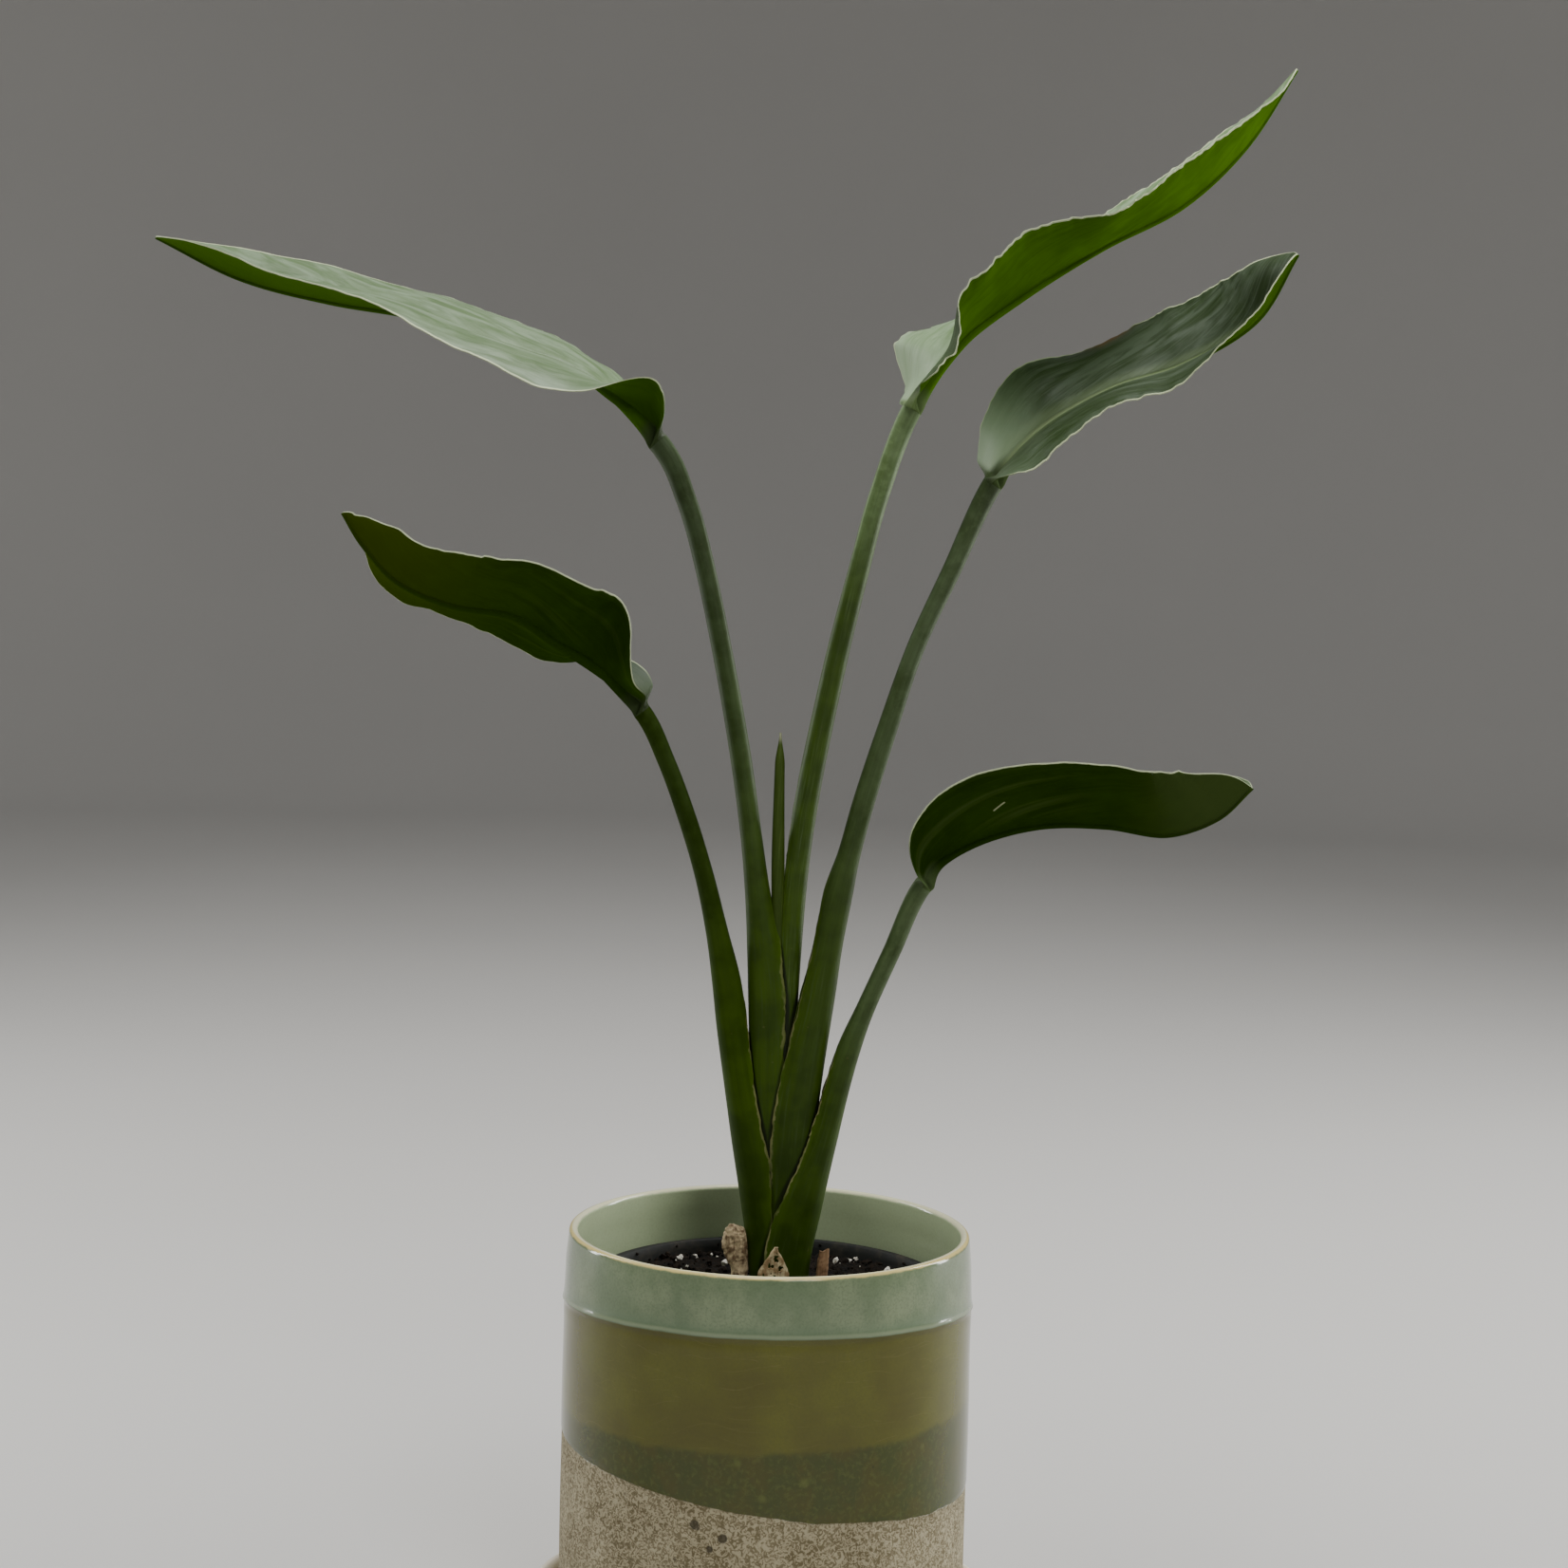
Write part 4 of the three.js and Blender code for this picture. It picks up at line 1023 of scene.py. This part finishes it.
def blade(name, seed, material):
    leaf = LEAVES[name]
    path, span = stem_path(leaf)
    rows = 230
    even = np.linspace(0, 1, rows)
    s = 0.4 * even + 0.6 * (1 - np.cos(math.pi * even)) / 2
    centre, _, front, out = frames(path, span + (1 - span) * s)
    up = -leaf["side"] * out
    length = along_curve(centre)
    rib, width = rib_radius(s), half_width(leaf, s)
    lifts = curve([[f, b] for f, b in zip(leaf["front"], leaf["back"])], s)[0]

    upper, lower, maps, marks = [], [], [], []
    for half, to_front in enumerate((1, -1)):
        cut, scar = np.zeros(rows), np.zeros(rows)
        for side, where, long, deep, brown in DAMAGE[name]:
            if side == to_front:
                away = (s - where) * length[-1]
                cut += deep * np.exp(-((away / (long / 2)) ** 2))
                scar = np.maximum(scar, brown * np.exp(-((away / long) ** 2)))
        wave = ripple(length, (23, 14, 9), seed + half)
        crinkle = ripple(length, (8.5, 5.5, 3.7), seed + half + 5)
        edge = np.maximum(width - cut, rib + 0.4)
        outer = rib[:, None] + np.outer(edge - rib, OUTER)
        distance = np.concatenate([np.outer(rib, INNER), outer], 1)
        turn = math.radians(leaf["curl"][half])
        start = np.radians(lifts[:, half : half + 1]) - turn / 2
        angle = start + turn * distance / width[:, None]
        arc = width[:, None] / turn
        across = arc * (np.sin(angle) - np.sin(start))
        rise = arc * (np.cos(start) - np.cos(angle))
        share = distance / width[:, None]
        nowhere = np.zeros_like(centre)
        below = ovals(nowhere, front, up, to_front * np.sin(angle), -np.cos(angle))
        skin = ovals(centre, front, up, to_front * across, rise)
        # The margin waves a little, and the upper face has a channel over the midrib.
        wavy, crinkly = LEAF_WAVE[name]
        swing = wavy * share**4 * wave[:, None] + crinkly * share**9 * crinkle[:, None]
        size = swing * ((1 - smooth(0.95, 1, s)) * width / leaf["half_width"])[:, None]
        skin = skin - size[..., None] * below
        near = np.clip(distance / rib[:, None], 0, 1)
        channel = 0.4 * rib[:, None] * (1 - near**2) ** 2
        margin = edge[:, None] - distance
        thick = BLADE_THICKNESS * (0.5 + 0.5 * smooth(0, 1.5, margin))
        thick = thick + rib[:, None] * np.sqrt(1 - near**2)
        upper.append(skin + (channel * smooth(0, 0.02, s)[:, None])[..., None] * below)
        lower.append(skin + thick[..., None] * below)
        lengths = np.broadcast_to(length[:, None], distance.shape)
        maps.append(np.stack([lengths, to_front * distance, margin], -1))
        spread = scar[:, None] * np.exp(-((margin / 3.0) ** 2))
        marks.append(np.stack([np.zeros_like(distance), distance / rib[:, None], spread], -1))

    def whole(halves):
        return np.concatenate([halves[0][:, ::-1], halves[1][:, 1:]], 1)

    upper, lower, maps, marks = whole(upper), whole(lower), whole(maps), whole(marks)
    columns = upper.shape[1]
    # The blade grows out of its stalk's oval.
    wide, deep = leaf["stem"][-1][3:5]
    around = np.radians(np.linspace(3, 177, columns))
    groove = wide * (1 - GROOVE * np.sin(around) ** 6) * np.sin(around)
    rim = deep * np.cos(around)
    oval_up = ovals(centre, front, up, rim[None], groove[None])
    oval_down = ovals(centre, front, up, rim[None], -wide * np.sin(around)[None])
    grown = smooth(-0.006, 0.026, s)[:, None, None]
    grown = (grown - grown[0]) / (1 - grown[0])
    upper = oval_up * (1 - grown) + upper * grown
    lower = oval_down * (1 - grown) + lower * grown

    top_marks = marks.copy()
    top_marks[..., 0] = 1
    points = np.concatenate([upper.reshape(-1, 3), lower.reshape(-1, 3)])
    under = rows * columns
    faces = grid_faces(rows, columns)
    faces += [[under + i for i in reversed(face)] for face in grid_faces(rows, columns)]
    for j in (0, columns - 1):
        for i in range(rows - 1):
            a, b = i * columns + j, (i + 1) * columns + j
            faces.append([a, b, under + b, under + a] if j else [b, a, under + a, under + b])
    for i in (0, rows - 1):
        for j in range(columns - 1):
            a = i * columns + j
            end = [a, a + 1, under + a + 1, under + a]
            faces.append(end if i == 0 else [end[k] for k in (1, 0, 3, 2)])
    attributes = {
        "leaf_map": np.concatenate([maps.reshape(-1, 3)] * 2),
        "leaf_mark": np.concatenate([top_marks.reshape(-1, 3), marks.reshape(-1, 3)]),
    }
    piece = make(f"blade_{name}", points, faces, "leaf_blade", material, attributes)
    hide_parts(f"leaf_{name}")


# ---------------------------------------------------------------- young leaf and remains


def young_look():
    look = Look("rolled_leaf_look", IOR=1.4, Specular_IOR_Level=0.2)
    mark = look.mark("skin")
    part = mark.split()[2]
    streaks = mark.stretch(1, 0.04, 0).noise(0.6, 3)
    colour = part.spread(0.2, 0.9).mix(srgb(43, 60, 9), srgb(54, 71, 20))
    colour = streaks.spread(0.45, 0.75, 0.35).mix(colour, srgb(84, 102, 46))
    colour = part.spread(0.96, 0.995).mix(colour, srgb(150, 154, 124))
    return look.finish(colour, (streaks, 0.4, 0.6), streaks, 0.06)


def young_leaf():
    """The rolled leaf, whose outer margin winds once round it on the way up."""
    count, sides = 150, 48
    part = np.linspace(0, 1, count)
    centre, _, front, out = frames(YOUNG_LEAF, part)
    size = girth(YOUNG_LEAF, part) * (1 - 0.75 * smooth(0.9, 1.0, part))[:, None]
    turn = np.arange(sides) / sides
    angle = TAU * (turn[None, :] + 0.55 * part[:, None] + 0.1)
    spiral = 0.86 + 0.14 * turn[None, :]
    depth = size[:, 1:2] * spiral * np.cos(angle)
    reach = size[:, :1] * spiral * np.sin(angle)
    points = ovals(centre, front, out, depth, reach).reshape(-1, 3)
    marks = {"skin": skin_mark(count, sides, turn * 12, along_curve(centre), part)}
    faces = tube_faces(count, sides)
    piece = make("rolled_young_leaf", points, faces, "rolled_leaf", young_look(), marks)
    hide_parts("young_leaf")


def dry_look(name, pale, brown):
    look = Look(name)
    place = look.place()
    fibre = place.stretch(1, 1, 0.12).noise(0.6, 4, 0.6)
    blotch = place.noise(3.4, 4, 0.6)
    colour = blotch.spread(0.4, 0.62).mix(pale, brown)
    colour = fibre.spread(0.5, 0.72, 0.55).mix(colour, srgb(74, 54, 34))
    colour = fibre.spread(0.4, 0.25, 0.4).mix(colour, srgb(206, 184, 146))
    return look.finish(colour, (blotch, 0.7, 0.95), fibre + blotch, 0.3)


def remnant(name, node, rows, material, crumple, seed, top_tilt):
    """A crumpled bit of old leaf base, as a loft through rows."""
    count, sides = 60, 56
    part = np.linspace(0, 1, count)
    centre, _, front, out = frames(rows, part)
    size = girth(rows, part)
    angle = TAU * np.arange(sides) / sides
    depth, reach = size[:, 1:2] * np.cos(angle), size[:, :1] * np.sin(angle)
    points = ovals(centre, front, out, depth, reach)
    flat = points.reshape(-1, 3)
    folds = rough(flat * [1, 1, 0.25], 3.0, seed) * 0.6 + rough(flat, 2.0, seed + 1) * 0.4
    outward = unit(points - centre[:, None]).reshape(-1, 3)
    flat = flat + outward * (crumple * folds)[:, None]
    top = smooth(0.6, 1, part).repeat(sides)
    torn = top_tilt * (flat[:, 0] - rows[-1][0]) + 0.5 * rough(flat, 2.5, seed + 2)
    flat[:, 2] += top * torn - 0.6 * top
    piece = make(name, flat, tube_faces(count, sides), "dry_leaf", material)
    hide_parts(node)


def husk():
    """The papery husk in front, a curved scrap with worn holes."""
    across, high = 64, 84
    u, v = np.meshgrid(np.linspace(-1, 1, across), np.linspace(0, 1, high))
    z = 129 + 26.6 * v
    width = np.interp(v, [0, 0.62, 0.8, 0.93, 1], [5.9, 5.8, 3.9, 1.7, 0.5])
    flat = np.stack([u * 6, v * 27, np.zeros_like(u)], -1).reshape(-1, 3)
    ragged = (rough(flat, 5, 91) * 0.35 + rough(flat, 2, 92) * 0.2).reshape(u.shape)
    x = 1.6 + 1.1 * v**3 + u * (width + 0.5 * ragged * np.abs(u))
    y = -13.0 + 0.7 * u**2 + 0.25 * ragged
    points = np.stack([x, y, z + 0.3 * ragged], -1).reshape(-1, 3)
    # Worn holes: middle, half width and half height of each, with torn edges.
    holes = [
        (2.9, 151.6, 0.8, 1.2), (0.6, 148.4, 1.3, 0.6), (4.3, 147.6, 0.7, 1.4),
        (-1.6, 144.2, 1.5, 0.7), (2.1, 144.4, 0.8, 1.2), (4.6, 142.4, 0.9, 0.6),
        (0.3, 141.2, 0.8, 0.6),
    ]
    quads = np.array(grid_faces(high, across))
    middle = points[quads].mean(1)
    torn = 1 + 0.55 * rough(middle, 1.3, 95)
    kept = np.ones(len(quads), bool)
    for at, up, half, rise in holes:
        kept &= np.hypot((middle[:, 0] - at) / half, (middle[:, 2] - up) / rise) > torn
    faces = quads[kept].tolist()
    look = dry_look("dry_husk_look", srgb(206, 190, 150), srgb(148, 122, 84))
    piece = make("papery_husk", points, faces, "dry_leaf", look)
    skin = piece.modifiers.new("skin", "SOLIDIFY")
    skin.thickness = 0.7 * MM
    skin.offset = -1
    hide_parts("dry_husk")


# ---------------------------------------------------------------- build


saucer()
pot()
nursery_pot()
soil()
perlite()
for index, leaf_name in enumerate(OLD_TO_YOUNG):
    stalk_material = stem_look(f"stalk_{leaf_name}_look", STALK_TONE[leaf_name])
    stem(leaf_name, OLD_TO_YOUNG[:index], OLD_TO_YOUNG[index + 1 :], stalk_material)
    tones = LEAF_TONE[leaf_name], STALK_TONE[leaf_name][1]
    own = UNDER_LIGHT.get(leaf_name), SCRATCHES.get(leaf_name)
    blade(leaf_name, 100 + 10 * index, leaf_look(f"blade_{leaf_name}_look", *tones, *own))
young_leaf()
remnant(
    "dry_sheath_scrap", "dry_sheath",
    [
        [-11.2, -1, 128.5, 2.6, 1.7], [-11.0, -1, 144, 3.0, 1.9], [-11.8, -1.4, 149.5, 4.3, 2.0],
        [-12.5, -1.7, 154.5, 5.0, 1.9], [-12.2, -2, 158.6, 4.2, 1.6], [-11.6, -2, 161, 2.7, 1.2],
    ],
    dry_look("dry_sheath_look", srgb(206, 184, 146), srgb(104, 80, 54)), 0.45, 81, -0.1,
)
husk()
remnant(
    "cut_leaf_stub", "cut_stub",
    [[19.6, -3, 128.5, 2.0, 1.35], [20, -3, 144, 2.1, 1.35], [20.7, -3, 153.2, 1.8, 1.25]],
    dry_look("cut_stub_look", srgb(158, 124, 90), srgb(122, 90, 62)), 0.16, 85, 0.1,
)

# ---------------------------------------------------------------- floor, light and camera


def floor():
    """A round floor that sweeps up into a wall far outside the lamps."""
    look = Look("floor_look")
    place = look.place()
    tone = place.noise(900, 2)
    colour = tone.mix(srgb(192, 190, 186), srgb(200, 198, 194))
    material = look.finish(colour, (tone, 0.75, 0.85), place.noise(6, 2), 0.05)
    reach, bend, low, high, sides = 5.0, 1.6, -0.0002, 4.2, 96
    turn = np.linspace(0, math.pi / 2, 25)
    profile = [[0.001, low], [1.2, low], [2.4, low]]
    profile += [[reach - bend + bend * math.sin(a), low + bend * (1 - math.cos(a))] for a in turn]
    profile += [[reach, high]]
    points, faces = closed_grid(turned(profile, sides))
    mesh = bpy.data.meshes.new("floor")
    mesh.from_pydata(points.tolist(), [], faces)
    mesh.polygons.foreach_set("use_smooth", [True] * len(mesh.polygons))
    mesh.materials.append(material)
    sweep = put_in_scene("floor", mesh)


def lamp(name, place, target, size, power):
    data = bpy.data.lights.new(name, "AREA")
    data.shape = "RECTANGLE"
    data.size, data.size_y = size
    data.energy = power
    light = put_in_scene(name, data)
    light.location = place
    light.rotation_euler = (Vector(target) - Vector(place)).to_track_quat("-Z", "Y").to_euler()


# The photograph's view: where the camera is, how far it looks down and is turned, in
# degrees, and its focal length and the photo's width, in pixels.
CAMERA_PLACE = (0.001077, -1.05135, 0.4109)
CAMERA_DOWN, CAMERA_ROLL = 4.566, 1.496
FOCAL_LENGTH, PHOTO_WIDTH = 3000, 1652


def camera():
    down, roll = math.radians(CAMERA_DOWN), math.radians(CAMERA_ROLL)
    ahead = Vector((0, math.cos(down), -math.sin(down)))
    level, up = Vector((1, 0, 0)), Vector((0, math.sin(down), math.cos(down)))
    right = level * math.cos(roll) + up * math.sin(roll)
    top = up * math.cos(roll) - level * math.sin(roll)
    data = bpy.data.cameras.new("camera")
    data.sensor_width = 36
    data.lens = FOCAL_LENGTH / PHOTO_WIDTH * data.sensor_width
    view = put_in_scene("camera", data)
    turned_to = Matrix((right, top, -ahead)).transposed().to_4x4()
    view.matrix_world = Matrix.Translation(CAMERA_PLACE) @ turned_to
    bpy.context.scene.camera = view


floor()
lamp("left_strip", (-1.5, 0.65, 0.8), (0, 0, 0.4), (0.22, 1.7), 20)
lamp("right_strip", (1.5, 0.65, 0.8), (0, 0, 0.4), (0.28, 1.7), 30)
lamp("overhead", (0.1, -0.1, 2.1), (0, 0, 0.35), (1.4, 1.0), 38)
lamp("front", (0.9, -2.3, 2.0), (0, 0, 0.25), (1.0, 0.8), 26)
world = bpy.data.worlds.new("studio")
world.use_nodes = True
background = world.node_tree.nodes["Background"].inputs
background["Color"].default_value = (0.8, 0.81, 0.82, 1)
background["Strength"].default_value = 0.25
bpy.context.scene.world = world
camera()
